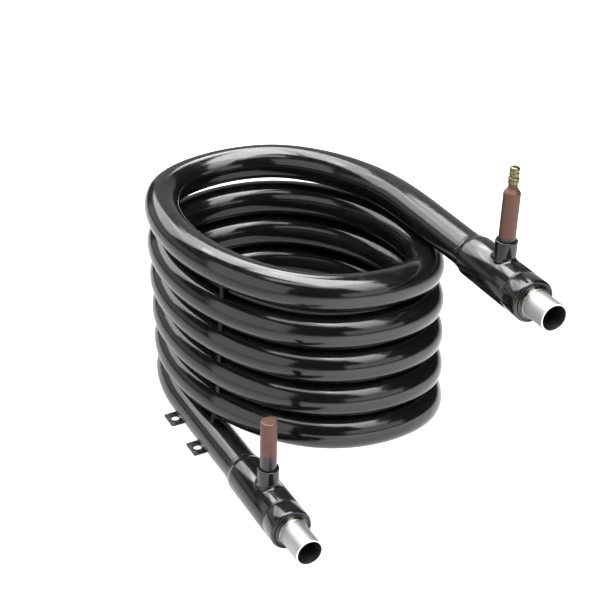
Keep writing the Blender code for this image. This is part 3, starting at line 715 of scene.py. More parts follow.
def drawn_metal(name, nose=None, mouth=None):
    """Drawn steel. nose is where the cap ends and mouth where the tube opens. Without them it is plain."""
    material, tree, shader = new_material(name)
    place = skin_place(tree) if nose else object_place(tree)
    drawn = group_node(tree, drawn_lines, Vector=place, Line_Scale=520.0)
    lines = drawn.outputs["Lines"]
    cloud = drawn.outputs["Cloud"]
    metal = mix_colour(tree, cloud, STEEL_DARK, STEEL_LIGHT)
    metal = mix_colour(tree, maths(tree, "MULTIPLY", lines, LINE_SHARE), metal, STEEL_LINE)
    if nose:
        along = add(tree, "ShaderNodeSeparateXYZ", Vector=place).outputs["Z"]
        warmth = remap(tree, along, nose, nose + TINT_LENGTH, TINT_SHARE, 0.0)
        metal = mix_colour(tree, warmth, metal, STRAW_TINT)
        # Painted highlight: the lip and face at the mouth get a pale colour, for the bright ring they show
        face = mask(tree, along, mouth - MOUTH_HIGHLIGHT_FROM, mouth - MOUTH_HIGHLIGHT_FULL)
        metal = mix_colour(tree, face, metal, MOUTH_PAINTED_HIGHLIGHT)
        # Painted shade: the bore inside the mouth is darkened
        from_axis = distance_from(tree, scaled(tree, place, (1.0, 1.0, 0.0)), (0.0, 0.0, 0.0))
        inside = remap(tree, from_axis, WATER_BORE, WATER_BORE + BORE_BLEND, 1.0, 0.0)
        metal = mix_colour(tree, inside, metal, BORE_PAINTED_SHADE)
    put(tree, shader, "Base Color", metal)
    shader.inputs["Metallic"].default_value = 1.0
    put(tree, shader, "Roughness", spread(tree, lines, 0.48, 0.62))
    height = maths(tree, "ADD", lines, maths(tree, "MULTIPLY", cloud, CLOUD_HEIGHT))
    raise_surface(tree, shader, height, strength=0.35, distance=0.0002)
    return material


CAP_NOSE = CAP_LENGTH + CONE_LENGTH
bare_tube = {side: drawn_metal("bare_water_tube_" + side, CAP_NOSE, mouth)
             for side, mouth in MOUTH_FROM_SEAM.items()}
bare_flutes = drawn_metal("bare_fluted_tube")

# %% [markdown]
# Copper that has been handled and warmed turns a dull pinkish brown, with darker clouds. The paint gun also
# caught the foot of each stub, so below a ragged line the copper is under a thin grey-black coat. The height
# on the stub, shaken by a noise, decides which of the two shows.

# %% Dull copper with an overspray of paint at the foot
COPPER_DARK = (0.082, 0.038, 0.025, 1.0)
COPPER_LIGHT = (0.130, 0.062, 0.042, 1.0)
COPPER_LINE = (0.060, 0.032, 0.024, 1.0)
OVERSPRAY = (0.006, 0.006, 0.0063, 1.0)
COPPER_LINE_SHARE = 0.35
COPPER_METALLIC = 0.55
COPPER_ROUGHNESS = 0.46
OVERSPRAY_ROUGHNESS = 0.30
OVERSPRAY_HEIGHT = 1.5
RAGGED_HEIGHT = 0.0022
RAGGED_EDGE = 0.0006


def dull_copper(name, paint_top):
    """Copper with paint up to a ragged line."""
    material, tree, shader = new_material(name)
    place = skin_place(tree)
    drawn = group_node(tree, drawn_lines, Vector=place, Line_Scale=620.0)
    lines = drawn.outputs["Lines"]
    bare = mix_colour(tree, drawn.outputs["Cloud"], COPPER_DARK, COPPER_LIGHT)
    bare = mix_colour(tree, maths(tree, "MULTIPLY", lines, COPPER_LINE_SHARE), bare, COPPER_LINE)
    along = add(tree, "ShaderNodeSeparateXYZ", Vector=place).outputs["Z"]
    shake = maths(tree, "SUBTRACT", noise(tree, place, scale=260.0, detail=3.0), 0.5)
    height = maths(tree, "ADD", along, maths(tree, "MULTIPLY", shake, RAGGED_HEIGHT))
    painted = remap(tree, height, paint_top - RAGGED_EDGE, paint_top + RAGGED_EDGE, 1.0, 0.0)
    put(tree, shader, "Base Color", mix_colour(tree, painted, bare, OVERSPRAY))
    put(tree, shader, "Metallic", remap(tree, painted, 0.0, 1.0, COPPER_METALLIC, 0.0))
    put(tree, shader, "Roughness", remap(tree, painted, 0.0, 1.0, COPPER_ROUGHNESS, OVERSPRAY_ROUGHNESS))
    film = maths(tree, "ADD", lines, maths(tree, "MULTIPLY", painted, OVERSPRAY_HEIGHT))
    raise_surface(tree, shader, film, strength=0.25, distance=0.0002)
    return material


copper = {side: dull_copper("copper_" + side, PAINT_TOP[side]) for side in BRANCH_AT}

# %% [markdown]
# The valve is turned from brass bar, so its tool marks run round it. A noise that is stretched round the axis
# draws them, as it draws the lines along a tube. Tarnish darkens the brass in patches, and its edges are
# rubbed bright.

# %% Turned brass
BRASS_DARK = (0.115, 0.095, 0.045, 1.0)
BRASS_LIGHT = (0.21, 0.178, 0.088, 1.0)
BRASS_RUBBED = (0.36, 0.32, 0.19, 1.0)
RING_STRETCH = (0.15, 0.15, 1.0)


def turned_brass(name):
    """Tarnished brass with rings from the lathe."""
    material, tree, shader = new_material(name)
    place = skin_place(tree)
    rings = noise(tree, scaled(tree, place, RING_STRETCH), scale=2600.0, detail=3.0)
    tarnish = noise(tree, place, scale=260.0, detail=3.0)
    rubbed = group_node(tree, edge_wear, Vector=place, Amount=0.5).outputs["Mask"]
    metal = mix_colour(tree, tarnish, BRASS_DARK, BRASS_LIGHT)
    put(tree, shader, "Base Color", mix_colour(tree, rubbed, metal, BRASS_RUBBED))
    shader.inputs["Metallic"].default_value = 1.0
    put(tree, shader, "Roughness", spread(tree, tarnish, 0.24, 0.40))
    raise_surface(tree, shader, rings, strength=0.3, distance=0.0001)
    return material


brass = turned_brass("turned_brass")

# %% [markdown]
# Braze metal freezes with a blotched skin, part bright and part burnt. One coarse noise drives its colour,
# its roughness and its bumps, because on the real joint they change together.

# %% Braze metal
BRAZE_BURNT = (0.10, 0.095, 0.09, 1.0)
BRAZE_BRIGHT = (0.42, 0.39, 0.35, 1.0)


def braze_metal(name):
    """Blotched metal of a brazed joint."""
    material, tree, shader = new_material(name)
    blotch = noise(tree, skin_place(tree), scale=420.0, detail=4.0)
    put(tree, shader, "Base Color", mix_colour(tree, blotch, BRAZE_BURNT, BRAZE_BRIGHT))
    shader.inputs["Metallic"].default_value = 1.0
    put(tree, shader, "Roughness", spread(tree, blotch, 0.30, 0.55))
    raise_surface(tree, shader, blotch, strength=0.6, distance=0.0003)
    return material


braze = {side: braze_metal("braze_" + side) for side in BRANCH_AT}

# %% [markdown]
# ## Outer tube
# One tube runs from tee to tee, so one mesh stands for both of its solids. A curve with a bevel would be
# quicker to make, but it would not store the tube's own space. Sixty-four sides keep the long highlights
# clean, and 120 rings a turn follow the bends.

# %% Outer tube
TUBE_SIDES = 64
outer_tube = swept("outer_tube_painted", tube_stations, round_section(TUBE_RADIUS, TUBE_SIDES),
                   round_section(TUBE_RADIUS - TUBE_WALL, TUBE_SIDES), paint_on_coil)
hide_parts("outer_tube_upper", "outer_tube_lower")
print("outer tube:", len(outer_tube.data.polygons), "faces")

# %% [markdown]
# ## Water tubes
# The solid inner tube with its twisted flutes stays as it is, sealed in the coil. What shows are the two
# plain water tubes that carry it on. Their open lips are slightly rounded and catch a thin bright line, which
# a painted highlight at the mouth makes brighter.

# %% Water tubes
LIP_ROUND = 0.0006


def water_tube(side):
    """Plain tube from inside the tee to the open mouth, with a rounded lip."""
    mouth = MOUTH_FROM_SEAM[side]
    start = FIT_GAP - TEE_LENGTH_OUT - WATER_TUBE_BEFORE_BRANCH
    lip = arc((mouth - LIP_ROUND, WATER_TUBE_RADIUS - LIP_ROUND), LIP_ROUND, 90, 0, 5)
    lip += arc((mouth - LIP_ROUND, WATER_BORE + LIP_ROUND), LIP_ROUND, 0, -90, 5)
    profile = [(start, WATER_TUBE_RADIUS), (CAP_NOSE, WATER_TUBE_RADIUS)] + lip + [(start, WATER_BORE)]
    placed = lead_frame(side, BRANCH_AT[side] + TEE_LENGTH_OUT)
    return turned("water_tube_" + side + "_bare", profile, placed, bare_tube[side])


for side in ("upper", "lower"):
    tube = water_tube(side)
    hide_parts("water_tube_" + side)
    print("water tube", side, len(tube.data.polygons), "faces")

sealed_tube = frame["nodes"]["inner_tube"]
sealed_tube.data.materials.clear()
sealed_tube.data.materials.append(bare_flutes)
sealed_tube.data.shade_smooth()

# %% [markdown]
# ## Tees
# The tee's sleeve slides over the tube with a thin lip, then flares to its full size. The branch grows out of
# it with a fillet. The branch is its own closed mesh whose foot sinks into the sleeve's wall, because its
# fillet meets the sleeve at a tangent, and there a cut between two meshes would only leave slivers.

# %% Sleeve of a tee
TUBE_CLEAR = TUBE_RADIUS + FIT_GAP
INNER_CLEAR = WATER_TUBE_RADIUS + FIT_GAP
LIP_RADIUS = TUBE_CLEAR + LIP_HEIGHT
LIP_EDGE_ROUND = 0.0004
FLARE_STEPS = 12
BEAD_ROOT_RADIUS = SLEEVE_RADIUS - BEAD_DEPTH
CHAMFER_TOP = BEAD_HALF_WIDTH + FIT_GAP
SEAM_EDGE_LENGTH = 0.0004
SEAM_EDGE_DROP = 0.0002


def flare_profile():
    """Lip, flare and body of the sleeve from the coil side out, as (along, radius) seen from the branch."""
    points = arc((LIP_EDGE_ROUND - TEE_LENGTH_IN, LIP_RADIUS - LIP_EDGE_ROUND), LIP_EDGE_ROUND, 180, 90, 4)
    start = LIP_LENGTH - TEE_LENGTH_IN
    for i in range(FLARE_STEPS + 1):
        share = i / FLARE_STEPS
        radius = LIP_RADIUS + (SLEEVE_RADIUS - LIP_RADIUS) * smooth(share)
        points.append((start + FLARE_LENGTH * share, radius))
    return points


def tee_sleeve(side, placed):
    """Sleeve with its lip, its flare and the chamfer that the weld bead fills."""
    profile = flare_profile() + [
        (TEE_LENGTH_OUT - CHAMFER_TOP - SEAM_EDGE_LENGTH, SLEEVE_RADIUS),
        (TEE_LENGTH_OUT - CHAMFER_TOP, SLEEVE_RADIUS - SEAM_EDGE_DROP),
        (TEE_LENGTH_OUT - FIT_GAP, BEAD_ROOT_RADIUS),
        (TEE_LENGTH_OUT - FIT_GAP, TUBE_CLEAR),
        (-TEE_LENGTH_IN, TUBE_CLEAR),
    ]
    return turned("tee_sleeve_" + side, profile, placed, paint_on_tees)


print("sleeve profile:", len(flare_profile()) + 5, "points")

# %% Branch of a tee
BRANCH_SIDES = 72
FILLET_STEPS = 10
FOOT_SUNK = 0.0012
FOOT_SPREAD = 0.0006
MOUTH_BEVEL = 0.0004


def tee_branch(side, placed):
    """Upright branch. The rings of its fillet follow the curve of the sleeve, the ones above are level."""
    bore = STUB_RADIUS + FIT_GAP
    angles = [math.pi / 2 * i / FILLET_STEPS for i in range(FILLET_STEPS + 1)]
    on_sleeve = [(bore, -FOOT_SUNK), (BRANCH_RADIUS + BRANCH_FILLET + FOOT_SPREAD, -FOOT_SUNK)]
    for angle in angles:
        radius = BRANCH_RADIUS + BRANCH_FILLET * (1 - math.sin(angle))
        on_sleeve.append((radius, BRANCH_FILLET * (1 - math.cos(angle))))
    edge = arc((BRANCH_TOP - BRANCH_CHAMFER, 0.0), BRANCH_CHAMFER, 90, 0, 5)
    level = [(BRANCH_RADIUS - BRANCH_CHAMFER + radius, height) for height, radius in edge]
    level += [(bore + MOUTH_BEVEL, BRANCH_TOP), (bore, BRANCH_TOP - MOUTH_BEVEL)]
    rings_wanted = [(radius, height, True) for radius, height in on_sleeve]
    rings_wanted += [(radius, height, False) for radius, height in level]
    bm = bmesh.new()
    skin = bm.verts.layers.float_vector.new(SKIN)
    rings = []
    for radius, height, on_saddle in rings_wanted:
        ring = []
        for i in range(BRANCH_SIDES):
            angle = 2 * math.pi * i / BRANCH_SIDES
            x = radius * math.cos(angle)
            y = radius * math.sin(angle)
            base = math.sqrt(SLEEVE_RADIUS ** 2 - y ** 2) if on_saddle else 0.0
            corner = bm.verts.new((x, y, base + height))
            corner[skin] = (y, base + height, x)
            ring.append(corner)
        rings.append(ring)
    bridge(bm, rings + rings[:1])
    return finish_mesh("tee_branch_" + side, bm, paint_on_tees, placed)


for side in ("upper", "lower"):
    placed = lead_frame(side, BRANCH_AT[side], TEE_CLOCK_DEG[side])
    sleeve = tee_sleeve(side, placed)
    branch = tee_branch(side, placed)
    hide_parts("tee_" + side)
    print("tee", side, len(sleeve.data.polygons) + len(branch.data.polygons), "faces")

# %% [markdown]
# ## End caps
# The cap closes the ring-shaped space between the tubes. Its rim is rounded over. A shallow groove parts the
# rim from the cone that runs down to the bare tube. In the light that groove reads as a thin black ring. All
# of it is round, so one turned profile does it.

# %% End caps
GROOVE_INSET = 0.0002
GROOVE_WIDTH = 0.0012
GROOVE_DEPTH = 0.0012
GROOVE_ROUND = 0.0003
GROOVE_LEAN = 0.0001
CONE_EDGE = 0.0002
CONE_STEPS = 6
CONE_HOLLOW = 1.6
CAP_END_WALL = 0.0033


def end_cap(side):
    """Cap from the weld seam out over its rim, groove and cone, and back along its bore."""
    groove_out = SLEEVE_RADIUS - RIM_ROUND - GROOVE_INSET
    groove_in = groove_out - GROOVE_WIDTH
    profile = [
        (FIT_GAP, TUBE_CLEAR),
        (FIT_GAP, BEAD_ROOT_RADIUS),
        (CHAMFER_TOP, SLEEVE_RADIUS - SEAM_EDGE_DROP),
        (CHAMFER_TOP + SEAM_EDGE_LENGTH, SLEEVE_RADIUS),
    ]
    profile += arc((CAP_LENGTH - RIM_ROUND, SLEEVE_RADIUS - RIM_ROUND), RIM_ROUND, 90, 0, 10)
    profile += [
        (CAP_LENGTH - GROOVE_ROUND, groove_out - GROOVE_LEAN),
        (CAP_LENGTH - GROOVE_DEPTH, groove_out - GROOVE_ROUND),
        (CAP_LENGTH - GROOVE_DEPTH, groove_in + GROOVE_ROUND),
        (CAP_LENGTH - CONE_EDGE, groove_in),
        (CAP_LENGTH + CONE_EDGE, groove_in - 2 * CONE_EDGE),
    ]
    cone_start = groove_in - 4 * CONE_EDGE
    nose = INNER_CLEAR + CAP_NOSE_WALL
    for i in range(CONE_STEPS + 1):
        share = i / CONE_STEPS
        reach = GROOVE_ROUND + (CONE_LENGTH - GROOVE_ROUND) * share ** CONE_HOLLOW
        profile.append((CAP_LENGTH + reach, cone_start + (nose - cone_start) * share))
    profile += [
        (CAP_LENGTH + CONE_LENGTH, INNER_CLEAR),
        (CAP_LENGTH - CAP_END_WALL, INNER_CLEAR),
        (CAP_LENGTH - CAP_END_WALL - CONE_LENGTH, TUBE_CLEAR),
    ]
    placed = lead_frame(side, BRANCH_AT[side] + TEE_LENGTH_OUT)
    return turned("end_cap_" + side + "_painted", profile, placed, paint_on_tees)


for side in ("upper", "lower"):
    cap = end_cap(side)
    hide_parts("end_cap_" + side)
    print("end cap", side, len(cap.data.polygons), "faces")

# %% [markdown]
# ## Weld beads and brazed joints
# A weld bead is a row of overlapping ripples. They could be a bump in the paint, but the bead stands out in
# profile, so they are in the mesh. The surface of a turned ring rises and falls with the angle by a tenth of
# a millimetre or two, and slow waves keep any two stretches from being alike.

# %% Rippled bead on the seam
BEAD_SIDES = 240
CROWN_SUNK = 0.0010
CROWN_RADIUS = BEAD_HALF_WIDTH + 0.0001
RIPPLE_SHARE = 0.55
DRIFT_SHARE = 0.14
FAST_DRIFT = 0.6


def weld_ripple(depth, ripples, phase):
    """Ripples of a weld bead round its joint, on slow waves of three and seven to a turn."""
    def wobble(angle):
        main = abs(math.sin(ripples * angle / 2 + phase))
        drift = math.sin(3 * angle + 2 * phase) + FAST_DRIFT * math.sin(7 * angle + phase)
        return -depth * (RIPPLE_SHARE * (1 - main) + DRIFT_SHARE * (1 + FAST_DRIFT - drift))
    return wobble


def seam_bead(side, seam, phase):
    """Bead that fills the chamfer between the tee and the cap."""
    root = BEAD_ROOT_RADIUS + FIT_GAP
    outline = arc((0.0, SLEEVE_RADIUS - CROWN_SUNK), CROWN_RADIUS, 25, 155, 8)
    outline += [(-BEAD_ROOT_HALF_WIDTH, root), (BEAD_ROOT_HALF_WIDTH, root)]
    ripple = weld_ripple(depth=0.00020, ripples=66, phase=phase)
    return turned("seam_bead_" + side + "_painted", outline, seam, paint_on_beads, BEAD_SIDES, wobble=ripple)


# %% Bead on the lip, and braze ring
LIP_BEAD_FOOT = 0.0001
LIP_BEAD_OUTLINE = ((0.0, 0.0002), (0.35, 0.0002), (0.75, 0.0006))
BRAZE_OUTLINE = ((0.0, 1.0), (0.0004, 0.80), (0.0008, 0.35))


def lip_bead(side, placed, phase):
    """Thin bead where the lip of the tee meets the outer tube."""
    outline = [(-FIT_GAP, TUBE_CLEAR + LIP_BEAD_FOOT)]
    outline += [(-FIT_GAP - LIP_BEAD_LENGTH * share, LIP_RADIUS - drop) for share, drop in LIP_BEAD_OUTLINE]
    outline += [(-FIT_GAP - LIP_BEAD_LENGTH, TUBE_CLEAR + LIP_BEAD_FOOT)]
    ripple = weld_ripple(depth=0.00010, ripples=58, phase=phase)
    return turned("lip_bead_" + side + "_painted", outline, placed, paint_on_beads, BEAD_SIDES, wobble=ripple)


def braze_ring(side, seam):
    """Hollow fillet of braze metal between the nose of the cap and the water tube."""
    foot = CAP_NOSE + FIT_GAP
    outline = [(foot, INNER_CLEAR)]
    outline += [(foot + along, INNER_CLEAR + BRAZE_HEIGHT * share) for along, share in BRAZE_OUTLINE]
    outline += [(foot + BRAZE_LENGTH, INNER_CLEAR)]
    return turned("braze_ring_" + side + "_metal", outline, seam, braze[side], sides=120)


for number, side in enumerate(("upper", "lower")):
    seam = lead_frame(side, BRANCH_AT[side] + TEE_LENGTH_OUT)
    bead = seam_bead(side, seam, number)
    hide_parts("seam_bead_" + side)
    bead = lip_bead(side, lead_frame(side, BRANCH_AT[side] - TEE_LENGTH_IN), number + 2)
    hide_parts("lip_bead_" + side)
    ring = braze_ring(side, seam)
    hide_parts("braze_ring_" + side)
    print("beads and braze ring:", side)

# %% [markdown]
# ## Copper stubs
# Both stubs are cut from the same tube. The lower one is closed at the top and cut open when it is connected.
# The upper one is drawn in at a shoulder, down to the neck that holds the valve. Both are turned profiles. A
# few more rings up the wall keep its faces from growing long and thin.

# %% Copper stubs
STUB_RINGS_AT = (0.045, 0.065, 0.085)
CLOSED_FACE_SHARES = (0.15, 0.5, 0.75)
SHOULDER_STEPS = 12
SHOULDER_SOFTNESS = 0.35
SHOULDER_RUN_IN = 0.0008
tee_frames = {side: lead_frame(side, BRANCH_AT[side], TEE_CLOCK_DEG[side]) for side in BRANCH_AT}

lower_profile = [(LOWER_STUB_TOP, STUB_RADIUS * share) for share in CLOSED_FACE_SHARES]
end_centre = (LOWER_STUB_TOP - STUB_END_ROUND, STUB_RADIUS - STUB_END_ROUND)
lower_profile += arc(end_centre, STUB_END_ROUND, 0, 90, 7)
lower_profile += [(height, STUB_RADIUS) for height in reversed(STUB_RINGS_AT)]
lower_profile += [(STUB_FOOT, STUB_RADIUS), (STUB_FOOT, STUB_BORE), (LOWER_STUB_TOP - STUB_WALL, STUB_BORE)]
stub_lower = turned("copper_stub_lower_closed", lower_profile, tee_frames["lower"], copper["lower"],
                    axis="Z", closed=False)

upper_profile = [(STUB_FOOT, STUB_RADIUS)] + [(height, STUB_RADIUS) for height in STUB_RINGS_AT]
upper_profile += [(UPPER_STUB_SHOULDER - SHOULDER_RUN_IN, STUB_RADIUS)]
for i in range(SHOULDER_STEPS + 1):
    share = i / SHOULDER_STEPS
    eased = SHOULDER_SOFTNESS * smooth(share) + (1 - SHOULDER_SOFTNESS) * share
    radius = STUB_RADIUS + (NECK_RADIUS - STUB_RADIUS) * eased
    upper_profile.append((UPPER_STUB_SHOULDER + SHOULDER_HEIGHT * share, radius))
upper_profile += [(NECK_TOP, NECK_RADIUS), (NECK_TOP, NECK_BORE), (NECK_START, NECK_BORE)]
upper_profile += [(UPPER_STUB_SHOULDER - STUB_WALL / 2, STUB_BORE), (STUB_FOOT, STUB_BORE)]
stub_upper = turned("copper_stub_upper_swaged", upper_profile, tee_frames["upper"], copper["upper"], axis="Z")

for piece, node in ((stub_lower, "copper_stub_lower"), (stub_upper, "copper_stub_upper")):
    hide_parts(node)
print("stubs:", len(stub_lower.data.polygons), len(stub_upper.data.polygons), "faces")

# %% [markdown]
# ## Access valve
# A small turned brass body is brazed into the neck. A round cap screws over its spigot. The rings turned into
# both are what the eye picks up at this size, so each ring is rounded in the profile. Threads are left out,
# because they are hidden under the cap.

# %% Body of the valve
VALVE_SIDES = 64
BODY_RING_HEIGHT = 0.0036
BODY_RING_STEP = 0.0002
BODY_RING_GAP = 0.0004
flange_at = NECK_TOP + FIT_GAP
flange_top = flange_at + VALVE_FLANGE_HEIGHT
spigot_top = flange_top + VALVE_SPIGOT_HEIGHT


def ridge(low, high, radius, round_off, steps=5):
    """Rounded ring of a turned piece between two heights."""
    return (arc((low + round_off, radius - round_off), round_off, 180, 90, steps)
            + arc((high - round_off, radius - round_off), round_off, 90, 0, steps))


tail_foot = flange_at - VALVE_TAIL_LENGTH
tail_radius = NECK_BORE - FIT_GAP
ring_top = flange_at + BODY_RING_HEIGHT
body_profile = [(tail_foot, VALVE_BORE_RADIUS), (tail_foot, tail_radius), (flange_at, tail_radius)]
body_profile += ridge(flange_at, ring_top, VALVE_FLANGE_RADIUS - BODY_RING_STEP, round_off=0.0005)
body_profile += ridge(ring_top + BODY_RING_GAP, flange_top, VALVE_FLANGE_RADIUS, round_off=0.0009)
body_profile += [(flange_top, VALVE_SPIGOT_RADIUS), (spigot_top, VALVE_SPIGOT_RADIUS)]
body_profile += [(spigot_top, VALVE_BORE_RADIUS)]
valve_body = turned("valve_body_turned", body_profile, tee_frames["upper"], brass, VALVE_SIDES, axis="Z")
print("valve body:", len(valve_body.data.polygons), "faces")

# %% Cap and pin of the valve
CAP_SKIRT_TOP = 0.0014
CAP_RING_LOW = 0.0016
CAP_RING_HIGH = 0.0056
CAP_RING_STEP = 0.0001
CAP_WAIST_AT = 0.0062
CAP_CROWN_AT = 0.0075
CAP_DOME_ROUND = 0.0026
CAP_TOP_SHY = 0.0002
PIN_POINT = 0.0002
cap_at = flange_top + FIT_GAP
cap_top = cap_at + VALVE_CAP_HEIGHT - CAP_TOP_SHY
cap_bore = VALVE_SPIGOT_RADIUS + FIT_GAP
cap_waist = VALVE_CAP_RADIUS - VALVE_CAP_WAIST
cap_profile = [(spigot_top + FIT_GAP, cap_bore), (cap_at, cap_bore)]
cap_profile += ridge(cap_at, cap_at + CAP_SKIRT_TOP, cap_waist, round_off=0.0003, steps=3)
cap_profile += ridge(cap_at + CAP_RING_LOW, cap_at + CAP_RING_HIGH, VALVE_CAP_RADIUS - CAP_RING_STEP,
                     round_off=0.0009)
cap_profile += [(cap_at + CAP_WAIST_AT, cap_waist)]
cap_profile += arc((cap_at + CAP_CROWN_AT, cap_waist), VALVE_CAP_WAIST, 180, 90, 4)
cap_profile += arc((cap_top - CAP_DOME_ROUND, VALVE_CAP_RADIUS - CAP_DOME_ROUND), CAP_DOME_ROUND, 90, 8, 9)
valve_cap = turned("valve_cap_turned", cap_profile, tee_frames["upper"], brass, VALVE_SIDES,
                   axis="Z", closed=False)

pin_foot = spigot_top - VALVE_PIN_LENGTH
pin_profile = [(pin_foot, VALVE_PIN_RADIUS)]
pin_profile += ridge(pin_foot + PIN_POINT, spigot_top - FIT_GAP, VALVE_PIN_RADIUS, round_off=0.0003, steps=3)
valve_pin = turned("valve_pin_turned", pin_profile, tee_frames["upper"], brass, VALVE_SIDES // 2,
                   axis="Z", closed=False)

for piece, node in ((valve_body, "valve_body"), (valve_cap, "valve_cap"), (valve_pin, "valve_pin")):
    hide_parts(node)
print("valve cap and pin:", sum(len(p.data.polygons) for p in (valve_cap, valve_pin)), "faces")

# %% [markdown]
# ## Tabs and spacers
# The solid tabs and spacers already have their true shape, so they are kept. A small bevel takes the knife
# edge off them, as shearing and paint do. The tabs get the same black paint as the tubes, and the spacers
# the duller one.

# %% Tabs and spacers
EDGE_BEVEL = 0.0003
BEVEL_ABOVE_DEG = 35.0

for name, node in frame["nodes"].items():
    if name.startswith(("mounting_tab", "spacer")):
        node.data.materials.clear()
        node.data.materials.append(paint_on_spacers if name.startswith("spacer") else paint_on_plate)
        node.data.shade_smooth()
        soften = node.modifiers.new("softened_edges", "BEVEL")
        soften.width = EDGE_BEVEL
        soften.segments = 2
        soften.limit_method = "ANGLE"
        soften.angle_limit = math.radians(BEVEL_ABOVE_DEG)
        soften.harden_normals = True
print("kept solids:", [n for n in frame["nodes"] if n.startswith(("mounting_tab", "spacer"))])

# %% [markdown]
# ## Floor
# The camera sees the floor as pure white, but the paint sees one that only glows in front. A floor that is
# white all over would burn out the rims of the tubes. The Light Path node tells the two apart: the glow
# fades with the distance from its middle, and rays from the camera always get the full white.

# %% Floor
FLOOR_HALF = 9.0
FLOOR_DROP = 0.0002
GLOW_CENTRE = (0.25, -0.80, 0.0)
GLOW_RADIUS = 0.40
GLOW_FADE_RADIUS = 1.15
GLOW_STRENGTH = 1.7
FLOOR_GREY = (0.35, 0.35, 0.35, 1.0)
FLOOR_ROUGHNESS = 0.9
WHITE = (1.0, 1.0, 1.0, 1.0)
floor_mesh = bpy.data.meshes.new("studio_floor")
floor_corners = [(-FLOOR_HALF, -FLOOR_HALF, 0), (FLOOR_HALF, -FLOOR_HALF, 0),
                 (FLOOR_HALF, FLOOR_HALF, 0), (-FLOOR_HALF, FLOOR_HALF, 0)]
floor_mesh.from_pydata(floor_corners, [], [(0, 1, 2, 3)])
floor = bpy.data.objects.new("studio_floor", floor_mesh)
floor.location.z = solid_low.z - FLOOR_DROP
bpy.context.scene.collection.objects.link(floor)
floor_paint, tree, shader = new_material("pale_floor")
shader.inputs["Base Color"].default_value = FLOOR_GREY
shader.inputs["Roughness"].default_value = FLOOR_ROUGHNESS
shader.inputs["Emission Color"].default_value = WHITE
from_glow = distance_from(tree, object_place(tree), GLOW_CENTRE)
glow = remap(tree, from_glow, GLOW_RADIUS, GLOW_FADE_RADIUS, GLOW_STRENGTH, 0.0)
seen_by = tree.nodes.new("ShaderNodeLightPath")
put(tree, shader, "Emission Strength", maths(tree, "MAXIMUM", glow, seen_by.outputs["Is Camera Ray"]))
floor_mesh.materials.append(floor_paint)

# %% [markdown]
# ## Softboxes
# Gloss black is lit by what stands round it, so the softboxes are placed by the reflections that they draw.
# A ceiling panel gives the bright line on every crest. From it light comes down in steps at the back and at
# the front right, each panel dimmer than the one above, and draws the broad grey bands. One high panel
# carries it round the front left. Dim panels lift the left side, the foot of the front and the two back
# corners. The right stays dark, which keeps the black deep.

# %% Softbox helpers
CENTRE = (solid_low + solid_high) / 2
WALL_DISTANCE = 2.6
DOWN = Vector((0.0, 0.0, -1.0))


def toward(azimuth_deg, height_deg):
    """Direction out of the object. Azimuth 0 is the front and 90 the right."""
    azimuth = math.radians(azimuth_deg)
    height = math.radians(height_deg)
    reach = math.cos(height)
    return Vector((math.sin(azimuth) * reach, -math.cos(azimuth) * reach, math.sin(height)))


def softbox(name, place, along, facing, length, width, radiance):
    """Area light with its long side along one direction."""
    light = bpy.data.lights.new(name, "AREA")
    light.shape = "RECTANGLE"
    light.size = length
    light.size_y = width
    light.energy = radiance * math.pi * length * width
    lamp = bpy.data.objects.new(name, light)
    side_axis = facing.cross(along).normalized()
    long_axis = side_axis.cross(facing).normalized()
    turn = Matrix((long_axis, side_axis, -facing)).transposed()
    lamp.matrix_world = Matrix.Translation(CENTRE + place) @ turn.to_4x4()
    bpy.context.scene.collection.objects.link(lamp)
    return lamp


def wall(name, azimuth_deg, low_deg, high_deg, spread_deg, radiance):
    """Softbox that fills a window of the view from the object: its middle azimuth, two heights and spread."""
    middle = (low_deg + high_deg) / 2
    out = toward(azimuth_deg, middle)
    tall = 2 * WALL_DISTANCE * math.tan(math.radians(high_deg - low_deg) / 2)
    wide = 2 * WALL_DISTANCE * math.cos(math.radians(middle)) * math.tan(math.radians(spread_deg) / 2)
    return softbox(name, out * WALL_DISTANCE, out.cross(-DOWN), -out, wide, tall, radiance)


# %% Softboxes
CEILING_HEIGHT = 2.6
CEILING_LENGTH = 2.3
CEILING_WIDTH = 1.7
CEILING_AZIMUTH = 20
CEILING_RADIANCE = 14.5
softbox("ceiling", -DOWN * CEILING_HEIGHT, toward(CEILING_AZIMUTH, 0), DOWN,
        CEILING_LENGTH, CEILING_WIDTH, CEILING_RADIANCE)
# Middle azimuth, lower and upper edge and spread in degrees, then radiance
wall("front_right_high", 20, 50, 66, 46, 8.5)
wall("front_right_middle", 20, 36, 50, 34, 6.0)
wall("front_right_low", 19, 24, 36, 24, 3.0)
wall("front_left_high", -45, 56, 68, 84, 5.0)
wall("back_high", 184, 50, 66, 76, 10.0)
wall("back_right", 163, 41, 51, 38, 7.5)
wall("back_left_middle", -157, 38, 51, 38, 6.5)
wall("back_left_low", -159, 20, 39, 38, 4.5)
wall("left_side", -84, -4, 40, 56, 1.7)
wall("front_foot", 15, 0, 22, 50, 1.8)
wall("backdrop_right", 150, 0, 40, 60, 0.4)
wall("backdrop_left", -140, 0, 19, 50, 0.6)

# %% [markdown]
# The studio round the panels is nearly dark, or its light would wash the black out. As with the floor, only
# rays from the camera see it as white.

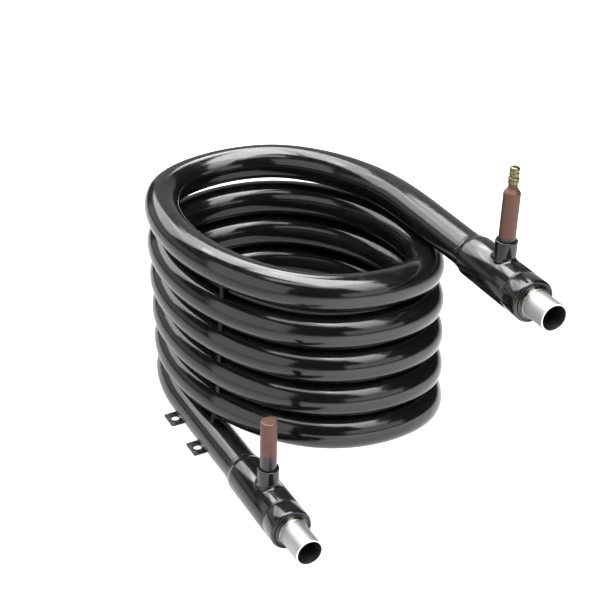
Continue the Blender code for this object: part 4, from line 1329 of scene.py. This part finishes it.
# %% World
STUDIO_GLOW = 0.06
world = bpy.data.worlds.new("dark_studio")
world.use_nodes = True
tree = world.node_tree
seen_by = tree.nodes.new("ShaderNodeLightPath")
backdrop = tree.nodes["Background"]
backdrop.inputs["Color"].default_value = WHITE
put(tree, backdrop, "Strength", maths(tree, "MAXIMUM", seen_by.outputs["Is Camera Ray"], STUDIO_GLOW))
bpy.context.scene.world = world
print("world:", world.name)

# %% [markdown]
# ## Camera
# The camera stands where the photographer did: a little left of the straight ends, looking down at the coil,
# far back with a long lens. Its place is worked out from two angles, a distance and a roll, because those
# can be read and changed, while a matrix can't.

# %% Camera
IMAGE_SIDE = 600
VIEW_AZIMUTH = -26.07
VIEW_HEIGHT = 28.45
VIEW_ROLL = -1.52
VIEW_DISTANCE = 1.9565
FOCAL_PIXELS = 1608.4
SENSOR_WIDTH_MM = 36.0
FAR_CLIP = 50.0
AIM = Vector((0.00794, -0.00389, -0.12097)) + SHIFT
roll = math.radians(VIEW_ROLL)
back = toward(VIEW_AZIMUTH, VIEW_HEIGHT)
level_right = toward(VIEW_AZIMUTH + 90, 0.0)
level_up = back.cross(level_right)
right = math.cos(roll) * level_right + math.sin(roll) * level_up
up = -math.sin(roll) * level_right + math.cos(roll) * level_up
camera_data = bpy.data.cameras.new("camera")
camera_data.sensor_width = SENSOR_WIDTH_MM
camera_data.lens = FOCAL_PIXELS / IMAGE_SIDE * SENSOR_WIDTH_MM
camera_data.clip_end = FAR_CLIP
camera = bpy.data.objects.new("camera", camera_data)
turn = Matrix((right, up, back)).transposed()
camera.matrix_world = Matrix.Translation(AIM + back * VIEW_DISTANCE) @ turn.to_4x4()
bpy.context.scene.collection.objects.link(camera)
bpy.context.scene.camera = camera
bpy.context.scene.view_settings.view_transform = "Standard"
print("camera lens", round(camera_data.lens, 2), "mm at", [round(v, 3) for v in camera.location])

# %% [markdown]
# ## Size
# The dressed object has to stay inside the box of the solids.

# %% Finish
import json
